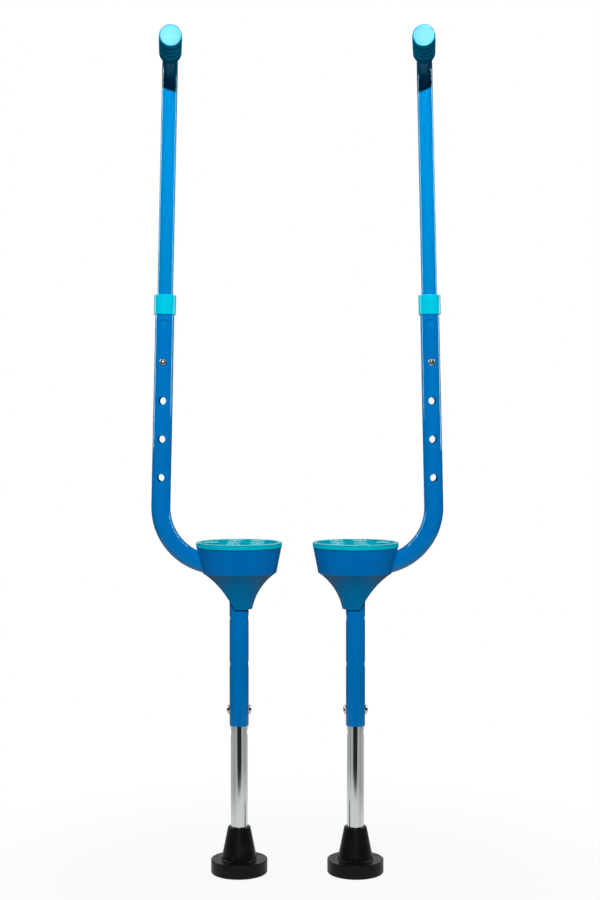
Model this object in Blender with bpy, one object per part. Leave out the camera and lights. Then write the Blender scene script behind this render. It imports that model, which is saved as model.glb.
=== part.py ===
"""A pair of walking stilts: bent steel tubes with telescoping handles and legs.

Units are metres and +Z is up. The stilts stand on the plane z = 0, their handles point to -Y, and the
plane x = 0 lies midway between them. Each stilt is modelled in a frame of its own: the origin is on the
floor under the leg's axis, and the side that faces away from the other stilt is called outward.
"""

import math

import bmesh
import bpy
from mathutils import Matrix, Vector

# Stance of the pair
LEG_SPREAD = 0.152

# Main tube: leg sleeve, two bends and the upright
TUBE_RADIUS = 0.0125
TUBE_WALL = 0.0012
SLEEVE_BOTTOM = 0.1928
LOWER_BEND_START = 0.3500
LOWER_BEND_RADIUS = 0.056
UPPER_BEND_RADIUS = 0.0755
BEND_ANGLE = math.radians(77)
UPRIGHT_LEAN = math.radians(1.3)
UPRIGHT_LENGTH = 0.2702

# Holes of the upright, measured along it from the bend, through front and back
HANDLE_HOLE_RADIUS = 0.0048
HANDLE_HOLE_FIRST = 0.0367
HANDLE_HOLE_PITCH = 0.050
HANDLE_HOLE_COUNT = 5
HANDLE_HOLE_USED = 3

# Holes of the leg sleeve, measured from the floor, through both sides
LEG_HOLE_RADIUS = 0.0039
LEG_HOLE_FIRST = 0.2133
LEG_HOLE_PITCH = 0.060
LEG_HOLE_COUNT = 3

# Handle tube, measured from the axis of its spring buttons
HANDLE_TUBE_RADIUS = 0.0103
HANDLE_TAIL = 0.032
HANDLE_RISE = 0.3538
HANDLE_BEND_RADIUS = 0.038
HANDLE_TUBE_REACH = 0.124
HANDLE_TURN_IN = math.radians(5)

# Grip
GRIP_RADIUS = 0.0143
GRIP_START = 0.040
GRIP_LENGTH = 0.089
GRIP_END_WALL = 0.0045
GRIP_END_ROUNDING = 0.0012
GRIP_END_DOME = 0.0010
GRIP_GROOVE_COUNT = 4
GRIP_GROOVE_DEPTH = 0.0014
GRIP_GROOVE_WIDTH = 0.0060

# Collar on the upright's upper end
COLLAR_RADIUS = 0.0145
COLLAR_HEIGHT = 0.025
COLLAR_LIP = 0.0025
COLLAR_ROUNDING = 0.0012

# Step cup
CUP_MOUTH_RADIUS = 0.0553
CUP_MOUTH_Z = 0.4255
CUP_CREASE_RADIUS = 0.0488
CUP_CREASE_Z = 0.3928
CUP_SPOUT_RADIUS = 0.0173
CUP_SPOUT_Z = 0.3455
CUP_WALL = 0.0019
FUNNEL_BOW = math.radians(45)
SLOT_HALF_WIDTH = 0.0166
SLOT_ARCH_Z = 0.4062

# Step tread
TREAD_RADIUS = 0.0560
TREAD_UNDERSIDE_Z = 0.4258
TREAD_TOP_Z = 0.4325
TREAD_EDGE_ROUNDING = 0.0010
TREAD_LIP_WIDTH = 0.0035
TREAD_RECESS = 0.0018
TREAD_SKIRT_RADIUS = 0.0514
TREAD_SKIRT_WALL = 0.0020
TREAD_SKIRT_DEPTH = 0.0035

# Star studs of the tread: each column's place outwards and number of studs, and the star's shape
STUD_COLUMNS = ((0.0360, 1), (0.0065, 3), (-0.0240, 3))
STUD_PITCH = 0.0300
STUD_POINTS = 6
STUD_REACH = 0.0105
STUD_WAIST = 0.0050

# Screw that holds the cup to the tube, at the back of the spout
SCREW_Z = 0.3535
SCREW_RADIUS = 0.0020
SCREW_HEAD_RADIUS = 0.0040
SCREW_HEAD_HEIGHT = 0.0024
SCREW_SEAT = 0.0186
SCREW_TIP = 0.0070

# Leg tube, measured from the floor
LEG_TUBE_RADIUS = 0.0110
LEG_TUBE_TOP = 0.2270
LEG_TUBE_BOTTOM = 0.0139
LEG_SPARE_HOLE_DROP = 0.030

# Rubber foot and the washer in it
FOOT_BASE_RADIUS = 0.0368
FOOT_BASE_HEIGHT = 0.0180
FOOT_EDGE_ROUNDING = 0.0020
FOOT_CONE_FOOT_RADIUS = 0.0231
FOOT_CONE_TOP_RADIUS = 0.0146
FOOT_TOP_Z = 0.0604
FOOT_FILLET = 0.0025
FOOT_LIP_ROUNDING = 0.0014
FOOT_SOCKET_FLOOR = 0.0115
FOOT_GROOVE_DEPTH = 0.0020
FOOT_GROOVE_WIDTH = 0.0030
FOOT_GROOVE_RADII = (0.0290, 0.0180)
FOOT_ARCH_RADIUS = 0.0050
FOOT_ARCH_DEPTH = 0.0200
WASHER_RADIUS = 0.0106
WASHER_THICKNESS = 0.0018

# Bolt and sleeve nut that hold the leg in its sleeve, measured from the leg's axis
BOLT_HEAD_RADIUS = 0.0063
BOLT_HEAD_HEIGHT = 0.0032
BOLT_HEAD_EDGE = 0.0006
BOLT_SHANK_RADIUS = 0.0022
BOLT_TIP = -0.0040
NUT_BORE_END = 0.0045

# Spring buttons of the handle and the strip spring behind them
BUTTON_STAND_OUT = 0.0040
BUTTON_DOME = 0.0030
BUTTON_CLEARANCE = 0.0005
FLANGE_LIP = 0.0008
FLANGE_THICKNESS = 0.0010
CLIP_WIDTH = 0.0080
CLIP_THICKNESS = 0.0006
CLIP_TAIL = 0.0060
CLIP_LENGTH = 0.0340
CLIP_LOOP_RADIUS = 0.0030

# Gap between pieces that touch
GAP = 0.0003

# Facets of round shapes
TUBE_SIDES = 16
HOLE_SIDES = 10
BUTTON_SIDES = 10
BOLT_SIDES = 12
SCREW_SIDES = 10
GRIP_SIDES = 16
CUP_SIDES = 32
FOOT_SIDES = 20
BEND_STEPS = 6
FUNNEL_STEPS = 5
ROUNDING_STEPS = 2
DOME_STEPS = 3
LOOP_STEPS = 6

UP = Vector((0, 0, 1))
FORWARD = Vector((0, -1, 0))
QUARTER_TURN = math.pi / 2
OUTWARD = {"left": -1, "right": 1}

# Base colour, roughness and metallic value of each finish
FINISHES = {
    "blue_paint": ((0.000, 0.150, 0.450, 1), 0.25, 0.0),
    "blue_plastic": ((0.000, 0.115, 0.370, 1), 0.40, 0.0),
    "turquoise_plastic": ((0.000, 0.560, 0.720, 1), 0.40, 0.0),
    "chrome": ((0.780, 0.790, 0.800, 1), 0.08, 1.0),
    "plain_steel": ((0.420, 0.430, 0.450, 1), 0.35, 1.0),
    "black_rubber": ((0.012, 0.012, 0.011, 1), 0.75, 0.0),
}


def clear_scene():
    """Remove every object that the file starts with."""
    for thing in list(bpy.data.objects):
        bpy.data.objects.remove(thing, do_unlink=True)


def finish(name, kind):
    """Material of one piece."""
    colour, roughness, metallic = FINISHES[kind]
    material = bpy.data.materials.new(f"{name}_finish")
    material.use_nodes = True
    shader = material.node_tree.nodes["Principled BSDF"]
    shader.inputs["Base Color"].default_value = colour
    shader.inputs["Roughness"].default_value = roughness
    shader.inputs["Metallic"].default_value = metallic
    return material


def empty(name, parent=None, location=(0, 0, 0), rotation=(0, 0, 0)):
    """Frame that pieces are placed in."""
    frame = bpy.data.objects.new(name, None)
    frame.parent = parent
    frame.location = location
    frame.rotation_euler = rotation
    bpy.context.collection.objects.link(frame)
    return frame


def shape(name, bm, parent, location=(0, 0, 0), rotation=(0, 0, 0)):
    """Object made from a finished mesh, smooth except at its real edges."""
    bmesh.ops.recalc_face_normals(bm, faces=bm.faces)
    mesh = bpy.data.meshes.new(name)
    bm.to_mesh(mesh)
    bm.free()
    mesh.shade_smooth()
    mesh.set_sharp_from_angle(angle=math.radians(32))
    thing = bpy.data.objects.new(name, mesh)
    thing.parent = parent
    thing.location = location
    thing.rotation_euler = rotation
    bpy.context.collection.objects.link(thing)
    return thing


def piece(name, bm, kind, parent, location=(0, 0, 0), rotation=(0, 0, 0)):
    """One sub-part with its own material."""
    thing = shape(name, bm, parent, location, rotation)
    thing.data.materials.append(finish(name, kind))
    return thing


def combine(target, tool_mesh, operation, label):
    """Cut a shape out of a piece, or join it on. The tool is given in the piece's own frame."""
    tool = shape(f"{target.name}_{label}", tool_mesh, target.parent, target.location, target.rotation_euler)
    tool.hide_render = True
    tool.display_type = "WIRE"
    modifier = target.modifiers.new(label, "BOOLEAN")
    modifier.operation = operation
    modifier.object = tool


def arc(centre, radius, start, end, steps):
    """Points of an arc in a profile's plane, from one angle to another in radians."""
    turns = [start + (end - start) * index / steps for index in range(steps + 1)]
    return [(centre[0] + radius * math.cos(turn), centre[1] + radius * math.sin(turn)) for turn in turns]


def corner(x, z, rounding, start):
    """Convex quarter round, clockwise from the given angle, inside the corner at x, z."""
    toward = start - QUARTER_TURN / 2
    centre = (x - math.copysign(rounding, math.cos(toward)), z - math.copysign(rounding, math.sin(toward)))
    return arc(centre, rounding, start, start - QUARTER_TURN, ROUNDING_STEPS)


def turned(outline, sides):
    """Solid turned about Z from (radius, z) points. An outline with both ends on the axis stays open there."""
    bm = bmesh.new()
    points = [bm.verts.new((radius, 0, z)) for radius, z in outline]
    ends_on_axis = outline[0][0] == 0 and outline[-1][0] == 0
    following = points[1:] if ends_on_axis else points[1:] + points[:1]
    edges = [bm.edges.new(pair) for pair in zip(points, following)]
    bmesh.ops.spin(
        bm,
        geom=points + edges,
        cent=(0, 0, 0),
        axis=UP,
        angle=math.tau,
        steps=sides,
        use_merge=True,
    )
    bmesh.ops.remove_doubles(bm, verts=bm.verts, dist=1e-6)
    return bm


def add_cylinder(bm, start, end, radius, sides):
    """Closed cylinder between two points."""
    along = end - start
    turn = UP.rotation_difference(along).to_matrix().to_4x4()
    bmesh.ops.create_cone(
        bm,
        cap_ends=True,
        segments=sides,
        radius1=radius,
        radius2=radius,
        depth=along.length,
        matrix=Matrix.Translation((start + end) / 2) @ turn,
    )


def with_borders(faces):
    """Faces with the edges and corners round them, as an extrusion takes them."""
    edges = {edge for face in faces for edge in face.edges}
    corners = {vert for face in faces for vert in face.verts}
    return list(faces) + list(edges) + list(corners)


def only(kind, geometry):
    """Items of one kind, such as faces, out of an operator's result."""
    return [item for item in geometry if isinstance(item, kind)]


def extruded(bm, faces, travel):
    """Carry faces along a straight run and return them where they end."""
    moved = bmesh.ops.extrude_face_region(bm, geom=with_borders(faces))["geom"]
    bmesh.ops.translate(bm, verts=only(bmesh.types.BMVert, moved), vec=travel)
    return only(bmesh.types.BMFace, moved)


def bent(bm, faces, centre, axis, angle):
    """Carry faces round a bend and return them where they end."""
    bend = bmesh.ops.spin(bm, geom=with_borders(faces), cent=centre, axis=axis, angle=angle, steps=BEND_STEPS)
    return only(bmesh.types.BMFace, bend["geom_last"])


def tube_end(bm, radius, centre):
    """Ring-shaped end of a tube that starts upwards from a point."""
    edges = set()
    for circle_radius in (radius, radius - TUBE_WALL):
        place = Matrix.Translation(centre)
        circle = bmesh.ops.create_circle(bm, segments=TUBE_SIDES, radius=circle_radius, matrix=place)
        edges.update(edge for vert in circle["verts"] for edge in vert.link_edges)
    return bmesh.ops.bridge_loops(bm, edges=list(edges))["faces"]


class MainPath:
    """Centre line of one stilt's main tube, in the stilt's frame."""

    def __init__(self, outward):
        self.out = Vector((outward, 0, 0))
        slant = UP * math.sin(BEND_ANGLE) - self.out * math.cos(BEND_ANGLE)
        self.lower_centre = self.out * LOWER_BEND_RADIUS + UP * LOWER_BEND_START
        self.upper_centre = self.lower_centre + slant * (LOWER_BEND_RADIUS + UPPER_BEND_RADIUS)
        self.bend_axis = Vector((0, outward, 0))
        self.along = UP * math.cos(UPRIGHT_LEAN) - self.out * math.sin(UPRIGHT_LEAN)
        across = self.out * math.cos(UPRIGHT_LEAN) + UP * math.sin(UPRIGHT_LEAN)
        self.upright_start = self.upper_centre + across * UPPER_BEND_RADIUS
        self.lean = (0, -outward * UPRIGHT_LEAN, 0)
        self.turn_in = -outward * HANDLE_TURN_IN
        self.ahead = FORWARD * math.cos(HANDLE_TURN_IN) - self.out * math.sin(HANDLE_TURN_IN)

    def upright(self, distance):
        """Point on the upright's axis."""
        return self.upright_start + self.along * distance

    def handle_hole(self, index):
        """Centre of one hole pair of the upright, counted from the lowest."""
        return self.upright(HANDLE_HOLE_FIRST + index * HANDLE_HOLE_PITCH)


def main_tube(name, path, parent):
    """Sleeve, double bend and upright in one tube, drilled for the buttons, the bolt and the screw."""
    bm = bmesh.new()
    end = tube_end(bm, TUBE_RADIUS, UP * SLEEVE_BOTTOM)
    end = extruded(bm, end, UP * (LOWER_BEND_START - SLEEVE_BOTTOM))
    end = bent(bm, end, path.lower_centre, path.bend_axis, BEND_ANGLE)
    end = bent(bm, end, path.upper_centre, -path.bend_axis, BEND_ANGLE + UPRIGHT_LEAN)
    extruded(bm, end, path.along * UPRIGHT_LENGTH)
    tube = piece(f"{name}_main_tube", bm, "blue_paint", parent)

    holes = bmesh.new()
    through = FORWARD * 2 * TUBE_RADIUS
    for index in range(HANDLE_HOLE_COUNT):
        centre = path.handle_hole(index)
        add_cylinder(holes, centre - through, centre + through, HANDLE_HOLE_RADIUS, HOLE_SIDES)
    sideways = path.out * 2 * TUBE_RADIUS
    for index in range(LEG_HOLE_COUNT):
        centre = UP * (LEG_HOLE_FIRST + index * LEG_HOLE_PITCH)
        add_cylinder(holes, centre - sideways, centre + sideways, LEG_HOLE_RADIUS, HOLE_SIDES)
    add_cylinder(holes, UP * SCREW_Z, UP * SCREW_Z - through, SCREW_RADIUS + GAP, SCREW_SIDES)
    combine(tube, holes, "DIFFERENCE", "holes")


def tube_collar(name, path, parent):
    """Ring over the upright's end, with a lip that leaves only the handle tube's way open."""
    bore = TUBE_RADIUS + GAP
    throat = HANDLE_TUBE_RADIUS + GAP
    top = GAP + COLLAR_LIP
    bottom = top - COLLAR_HEIGHT
    outline = corner(COLLAR_RADIUS, top, COLLAR_ROUNDING, QUARTER_TURN)
    outline += corner(COLLAR_RADIUS, bottom, COLLAR_ROUNDING, 0)
    outline += [(bore, bottom), (bore, GAP), (throat, GAP), (throat, top)]
    bm = turned(outline, TUBE_SIDES)
    piece(f"{name}_tube_collar", bm, "turquoise_plastic", parent, path.upright(UPRIGHT_LENGTH), path.lean)


def handle_tube(name, path, parent):
    """Tube that rises from the upright and bends forward, a little inwards, with a hole pair for its buttons."""
    bm = bmesh.new()
    end = tube_end(bm, HANDLE_TUBE_RADIUS, UP * -HANDLE_TAIL)
    end = extruded(bm, end, UP * (HANDLE_TAIL + HANDLE_RISE))
    centre = UP * HANDLE_RISE + path.ahead * HANDLE_BEND_RADIUS
    end = bent(bm, end, centre, UP.cross(path.ahead), QUARTER_TURN)
    extruded(bm, end, path.ahead * (HANDLE_TUBE_REACH - HANDLE_BEND_RADIUS))
    tube = piece(f"{name}_handle_tube", bm, "blue_paint", parent)

    holes = bmesh.new()
    through = FORWARD * 2 * HANDLE_TUBE_RADIUS
    add_cylinder(holes, -through, through, HANDLE_HOLE_RADIUS, HOLE_SIDES)
    combine(tube, holes, "DIFFERENCE", "holes")


def handle_grip(name, path, parent):
    """Sleeve with broad ribs and a closed, slightly domed end, turned along the handle's axis."""
    bore = HANDLE_TUBE_RADIUS + GAP
    floor = GRIP_LENGTH - GRIP_END_WALL
    shoulder = GRIP_LENGTH - GRIP_END_DOME
    outline = [(0, floor), (bore, floor), (bore, 0)]
    outline += corner(GRIP_RADIUS, 0, GRIP_END_ROUNDING, 0)[::-1]
    rib = (shoulder - GRIP_GROOVE_COUNT * GRIP_GROOVE_WIDTH) / (GRIP_GROOVE_COUNT + 1)
    for index in range(GRIP_GROOVE_COUNT):
        near = rib + index * (rib + GRIP_GROOVE_WIDTH)
        waist = (GRIP_RADIUS - GRIP_GROOVE_DEPTH, near + GRIP_GROOVE_WIDTH / 2)
        outline += [(GRIP_RADIUS, near), waist, (GRIP_RADIUS, near + GRIP_GROOVE_WIDTH)]
    outline += corner(GRIP_RADIUS, shoulder, GRIP_END_ROUNDING, QUARTER_TURN)[::-1]
    outline.append((0, GRIP_LENGTH))
    bm = turned(outline, GRIP_SIDES)
    place = UP * (HANDLE_RISE + HANDLE_BEND_RADIUS) + path.ahead * GRIP_START
    piece(f"{name}_handle_grip", bm, "turquoise_plastic", parent, place, (QUARTER_TURN, 0, path.turn_in))


def flange_seat():
    """Farthest place from the handle tube's axis where a button's flat flange still clears the round bore."""
    bore = HANDLE_TUBE_RADIUS - TUBE_WALL - GAP
    return math.sqrt(bore**2 - (HANDLE_HOLE_RADIUS + FLANGE_LIP) ** 2)


def dome(radius, base, height):
    """Points of a quarter ellipse from the rim of a domed end to its top on the axis."""
    turns = [QUARTER_TURN * step / DOME_STEPS for step in range(DOME_STEPS)]
    return [(radius * math.cos(turn), base + height * math.sin(turn)) for turn in turns] + [(0, base + height)]


def spring_button(name, parent, rotation):
    """Domed button with an inner flange, turned about its own line of travel."""
    radius = HANDLE_HOLE_RADIUS - BUTTON_CLEARANCE
    flange = HANDLE_HOLE_RADIUS + FLANGE_LIP
    seat = flange_seat()
    shoulder = TUBE_RADIUS + BUTTON_STAND_OUT - BUTTON_DOME
    outline = [(0, seat - FLANGE_THICKNESS), (flange, seat - FLANGE_THICKNESS), (flange, seat), (radius, seat)]
    outline += dome(radius, shoulder, BUTTON_DOME)
    piece(name, turned(outline, BUTTON_SIDES), "chrome", parent, (0, 0, 0), rotation)


def strip_spring(name, parent):
    """Strip bent to a hairpin, whose two arms press on the flanges of a button pair."""
    arm = flange_seat() - FLANGE_THICKNESS - GAP - CLIP_THICKNESS / 2
    loop = arc((0, CLIP_LENGTH - CLIP_LOOP_RADIUS), CLIP_LOOP_RADIUS, math.pi, 0, LOOP_STEPS)
    line = [(-arm, -CLIP_TAIL), (-arm, CLIP_TAIL), *loop, (arm, CLIP_TAIL), (arm, -CLIP_TAIL)]
    bm = bmesh.new()
    rows = []
    for index, spot in enumerate(line):
        ahead = Vector(line[min(index + 1, len(line) - 1)])
        behind = Vector(line[max(index - 1, 0)])
        across = (ahead - behind).normalized().orthogonal() * CLIP_THICKNESS / 2
        edges = (Vector(spot) - across, Vector(spot) + across)
        rows.append([bm.verts.new((-CLIP_WIDTH / 2, edge.x, edge.y)) for edge in edges])
    for lower, upper in zip(rows, rows[1:]):
        bm.faces.new((lower[0], lower[1], upper[1], upper[0]))
    extruded(bm, list(bm.faces), Vector((CLIP_WIDTH, 0, 0)))
    piece(name, bm, "plain_steel", parent)


def funnel_arc(inset):
    """Funnel's side from the spout up to the crease: one hollow arc, moved in by the wall for its inner face."""
    low = Vector((CUP_SPOUT_RADIUS, CUP_SPOUT_Z))
    high = Vector((CUP_CREASE_RADIUS, CUP_CREASE_Z))
    chord = high - low
    radius = chord.length / (2 * math.sin(FUNNEL_BOW / 2))
    outside = Vector((chord.y, -chord.x)).normalized()
    centre = (low + high) / 2 + outside * radius * math.cos(FUNNEL_BOW / 2)
    first = math.atan2(low.y - centre.y, low.x - centre.x)
    return arc(centre, radius + inset, first, first - FUNNEL_BOW, FUNNEL_STEPS)


def step_cup(name, path, parent):
    """Conical band over a funnel and spout, slotted on its outer side to slide up over the bent tube."""
    outer = [(CUP_MOUTH_RADIUS, CUP_MOUTH_Z), *funnel_arc(0)[::-1]]
    inner = [*funnel_arc(CUP_WALL), (CUP_MOUTH_RADIUS - CUP_WALL, CUP_MOUTH_Z)]
    cup = piece(f"{name}_step_cup", turned(outer + inner, CUP_SIDES), "blue_plastic", parent)

    cuts = bmesh.new()
    below = CUP_SPOUT_Z - SLOT_HALF_WIDTH
    arch = arc((0, SLOT_ARCH_Z), SLOT_HALF_WIDTH, 0, math.pi, HOLE_SIDES)
    outline = [(SLOT_HALF_WIDTH, below), *arch, (-SLOT_HALF_WIDTH, below)]
    slot = cuts.faces.new([cuts.verts.new((0, y, z)) for y, z in outline])
    extruded(cuts, [slot], path.out * 2 * CUP_MOUTH_RADIUS)
    seat = UP * SCREW_Z - FORWARD * SCREW_SEAT
    add_cylinder(cuts, seat, seat - FORWARD * CUP_MOUTH_RADIUS, SCREW_HEAD_RADIUS + 2 * GAP, SCREW_SIDES)
    combine(cup, cuts, "DIFFERENCE", "slot")

    hole = bmesh.new()
    add_cylinder(hole, UP * SCREW_Z, seat - FORWARD * TUBE_RADIUS, SCREW_RADIUS + GAP, SCREW_SIDES)
    combine(cup, hole, "DIFFERENCE", "screw_hole")


def add_stud(bm, bottom):
    """Star-shaped stud of the tread, which starts inside the plate."""
    corners = []
    for index in range(2 * STUD_POINTS):
        reach = STUD_WAIST if index % 2 else STUD_REACH
        way = Matrix.Rotation(math.pi * index / STUD_POINTS, 3, UP) @ FORWARD
        corners.append(bm.verts.new(bottom + way * reach))
    extruded(bm, [bm.faces.new(corners)], UP * 2 * TREAD_RECESS)


def step_tread(name, path, parent):
    """Round plate with a lip, a skirt that drops into the cup, and star studs level with the lip."""
    floor = TREAD_TOP_Z - TREAD_RECESS
    skirt_end = TREAD_UNDERSIDE_Z - TREAD_SKIRT_DEPTH
    skirt_inside = TREAD_SKIRT_RADIUS - TREAD_SKIRT_WALL
    lip_inside = TREAD_RADIUS - TREAD_LIP_WIDTH
    outline = [(0, floor), (lip_inside - TREAD_RECESS, floor), (lip_inside, TREAD_TOP_Z)]
    outline += corner(TREAD_RADIUS, TREAD_TOP_Z, TREAD_EDGE_ROUNDING, QUARTER_TURN)
    outline += [(TREAD_RADIUS, TREAD_UNDERSIDE_Z), (TREAD_SKIRT_RADIUS, TREAD_UNDERSIDE_Z)]
    outline += [(TREAD_SKIRT_RADIUS, skirt_end), (skirt_inside, skirt_end)]
    outline += [(skirt_inside, TREAD_UNDERSIDE_Z), (0, TREAD_UNDERSIDE_Z)]
    tread = piece(f"{name}_step_tread", turned(outline, CUP_SIDES), "turquoise_plastic", parent)

    studs = bmesh.new()
    for outwards, count in STUD_COLUMNS:
        for index in range(count):
            aside = FORWARD * STUD_PITCH * (index - (count - 1) / 2)
            add_stud(studs, path.out * outwards + aside + UP * (TREAD_TOP_Z - 2 * TREAD_RECESS))
    combine(tread, studs, "UNION", "studs")


def step_screw(name, parent):
    """Pan-head screw from the back, through the spout into the tube."""
    seat = SCREW_SEAT + GAP
    head = [(SCREW_HEAD_RADIUS, seat), (SCREW_HEAD_RADIUS, seat + SCREW_HEAD_HEIGHT / 2)]
    crown = (SCREW_HEAD_RADIUS / 2, seat + SCREW_HEAD_HEIGHT)
    outline = [(0, SCREW_TIP), (SCREW_RADIUS, SCREW_TIP + SCREW_RADIUS), (SCREW_RADIUS, seat), *head, crown]
    outline.append((0, seat + SCREW_HEAD_HEIGHT))
    bm = turned(outline, SCREW_SIDES)
    piece(f"{name}_step_screw", bm, "plain_steel", parent, UP * SCREW_Z, (-QUARTER_TURN, 0, 0))


def leg_tube(name, path, parent):
    """Straight tube with a hole pair for its bolt and a spare pair below the sleeve."""
    bm = bmesh.new()
    end = tube_end(bm, LEG_TUBE_RADIUS, UP * (LEG_TUBE_BOTTOM - LEG_HOLE_FIRST))
    extruded(bm, end, UP * (LEG_TUBE_TOP - LEG_TUBE_BOTTOM))
    tube = piece(f"{name}_leg_tube", bm, "chrome", parent)

    holes = bmesh.new()
    sideways = path.out * 2 * LEG_TUBE_RADIUS
    for drop in (0, LEG_SPARE_HOLE_DROP):
        centre = UP * -drop
        add_cylinder(holes, centre - sideways, centre + sideways, LEG_HOLE_RADIUS, HOLE_SIDES)
    combine(tube, holes, "DIFFERENCE", "holes")


def bolt_head():
    """Domed head, from its flat seat on the sleeve to its top."""
    seat = TUBE_RADIUS + GAP
    crown = seat + BOLT_HEAD_EDGE
    return [(BOLT_HEAD_RADIUS, seat), *dome(BOLT_HEAD_RADIUS, crown, BOLT_HEAD_HEIGHT - BOLT_HEAD_EDGE)]


def leg_bolt(name, parent, rotation):
    """Bolt with a domed head, turned about its axis, that goes into the nut."""
    seat = TUBE_RADIUS + GAP
    outline = [(0, BOLT_TIP), (BOLT_SHANK_RADIUS, BOLT_TIP), (BOLT_SHANK_RADIUS, seat), *bolt_head()]
    piece(f"{name}_leg_bolt", turned(outline, BOLT_SIDES), "chrome", parent, (0, 0, 0), rotation)


def leg_nut(name, parent, rotation):
    """Nut with the same head and a long sleeve that both tubes bear on, turned about its axis."""
    sleeve = LEG_HOLE_RADIUS - GAP
    bore = BOLT_SHANK_RADIUS + GAP
    seat = TUBE_RADIUS + GAP
    outline = [(0, NUT_BORE_END), (bore, NUT_BORE_END), (bore, -TUBE_RADIUS), (sleeve, -TUBE_RADIUS)]
    outline += [(sleeve, seat), *bolt_head()]
    piece(f"{name}_leg_nut", turned(outline, BOLT_SIDES), "chrome", parent, (0, 0, 0), rotation)


def foot(name, parent):
    """Rubber tip: a cone with a socket on a round base, arched front and back, with a grooved sole."""
    socket = LEG_TUBE_RADIUS + GAP
    outline = [(0, FOOT_SOCKET_FLOOR), (socket, FOOT_SOCKET_FLOOR), (socket, FOOT_TOP_Z)]
    outline += corner(FOOT_CONE_TOP_RADIUS, FOOT_TOP_Z, FOOT_LIP_ROUNDING, QUARTER_TURN)
    fillet_centre = (FOOT_CONE_FOOT_RADIUS + FOOT_FILLET, FOOT_BASE_HEIGHT + FOOT_FILLET)
    outline += arc(fillet_centre, FOOT_FILLET, math.pi, 3 * QUARTER_TURN, ROUNDING_STEPS)
    outline += corner(FOOT_BASE_RADIUS, FOOT_BASE_HEIGHT, FOOT_EDGE_ROUNDING / 2, QUARTER_TURN)
    outline += corner(FOOT_BASE_RADIUS, 0, FOOT_EDGE_ROUNDING, 0)
    for radius in FOOT_GROOVE_RADII:
        outer, inner = radius + FOOT_GROOVE_WIDTH / 2, radius - FOOT_GROOVE_WIDTH / 2
        outline += [(outer, 0), (outer, FOOT_GROOVE_DEPTH), (inner, FOOT_GROOVE_DEPTH), (inner, 0)]
    outline.append((0, 0))
    tip = piece(f"{name}_foot", turned(outline, FOOT_SIDES), "black_rubber", parent, UP * -LEG_HOLE_FIRST)

    arches = bmesh.new()
    for way in (FORWARD, -FORWARD):
        outline = arc((0, FOOT_BASE_HEIGHT + GAP), FOOT_ARCH_RADIUS, 0, math.pi, HOLE_SIDES // 2)
        start = way * FOOT_ARCH_DEPTH
        face = arches.faces.new([arches.verts.new((x, start.y, z)) for x, z in outline])
        extruded(arches, [face], way * (FOOT_BASE_RADIUS - FOOT_ARCH_DEPTH))
    combine(tip, arches, "DIFFERENCE", "arches")


def foot_washer(name, parent):
    """Steel disc that spreads the tube's load in the rubber."""
    bm = bmesh.new()
    bottom = UP * (FOOT_SOCKET_FLOOR + GAP)
    add_cylinder(bm, bottom, bottom + UP * WASHER_THICKNESS, WASHER_RADIUS, TUBE_SIDES)
    piece(f"{name}_foot_washer", bm, "plain_steel", parent, UP * -LEG_HOLE_FIRST)


def handle(name, path, stilt):
    """Everything that slides in the upright, in a frame on the upright's axis at the buttons."""
    frame = empty(f"{name}_handle_frame", stilt, path.handle_hole(HANDLE_HOLE_USED), path.lean)
    handle_tube(name, path, frame)
    handle_grip(name, path, frame)
    strip_spring(f"{name}_handle_clip", frame)
    spring_button(f"{name}_handle_button_front", frame, (QUARTER_TURN, 0, 0))
    spring_button(f"{name}_handle_button_back", frame, (-QUARTER_TURN, 0, 0))


def leg(name, path, stilt):
    """Everything that slides in the sleeve, in a frame on the leg's axis at its bolt."""
    frame = empty(f"{name}_leg_frame", stilt, UP * LEG_HOLE_FIRST)
    leg_tube(name, path, frame)
    foot(name, frame)
    foot_washer(name, frame)
    outer_turn = path.out.x * QUARTER_TURN
    leg_nut(name, frame, (0, outer_turn, 0))
    leg_bolt(name, frame, (0, -outer_turn, 0))


def leg_line():
    """Place of the legs along Y that puts the pair's box evenly about y = 0."""
    edge_along = GRIP_START + GRIP_LENGTH - GRIP_END_DOME - GRIP_END_ROUNDING
    edge_aside = GRIP_RADIUS - GRIP_END_ROUNDING
    front = edge_along * math.cos(HANDLE_TURN_IN) + edge_aside * math.sin(HANDLE_TURN_IN) + GRIP_END_ROUNDING
    return (front - TREAD_RADIUS) / 2


def stilt(name, outward):
    """One whole stilt."""
    path = MainPath(outward)
    frame = empty(f"{name}_stilt_frame", None, (outward * LEG_SPREAD / 2, leg_line(), 0))
    main_tube(name, path, frame)
    tube_collar(name, path, frame)
    step_cup(name, path, frame)
    step_tread(name, path, frame)
    step_screw(name, frame)
    handle(name, path, frame)
    leg(name, path, frame)


def build():
    """The pair of stilts."""
    clear_scene()
    for name, outward in OUTWARD.items():
        stilt(name, outward)


build()
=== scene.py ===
"""Looks of a pair of walking stilts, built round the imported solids.

Every visible piece is a surface worked out with numpy in the frame of the part that carries it: the stilt,
its handle or its leg. The frames are placed where the solids stand, and each piece stands for its solid.
"""

import logging
import math
from dataclasses import dataclass
from enum import Enum
from typing import Any, Callable, Optional, Sequence

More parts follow.
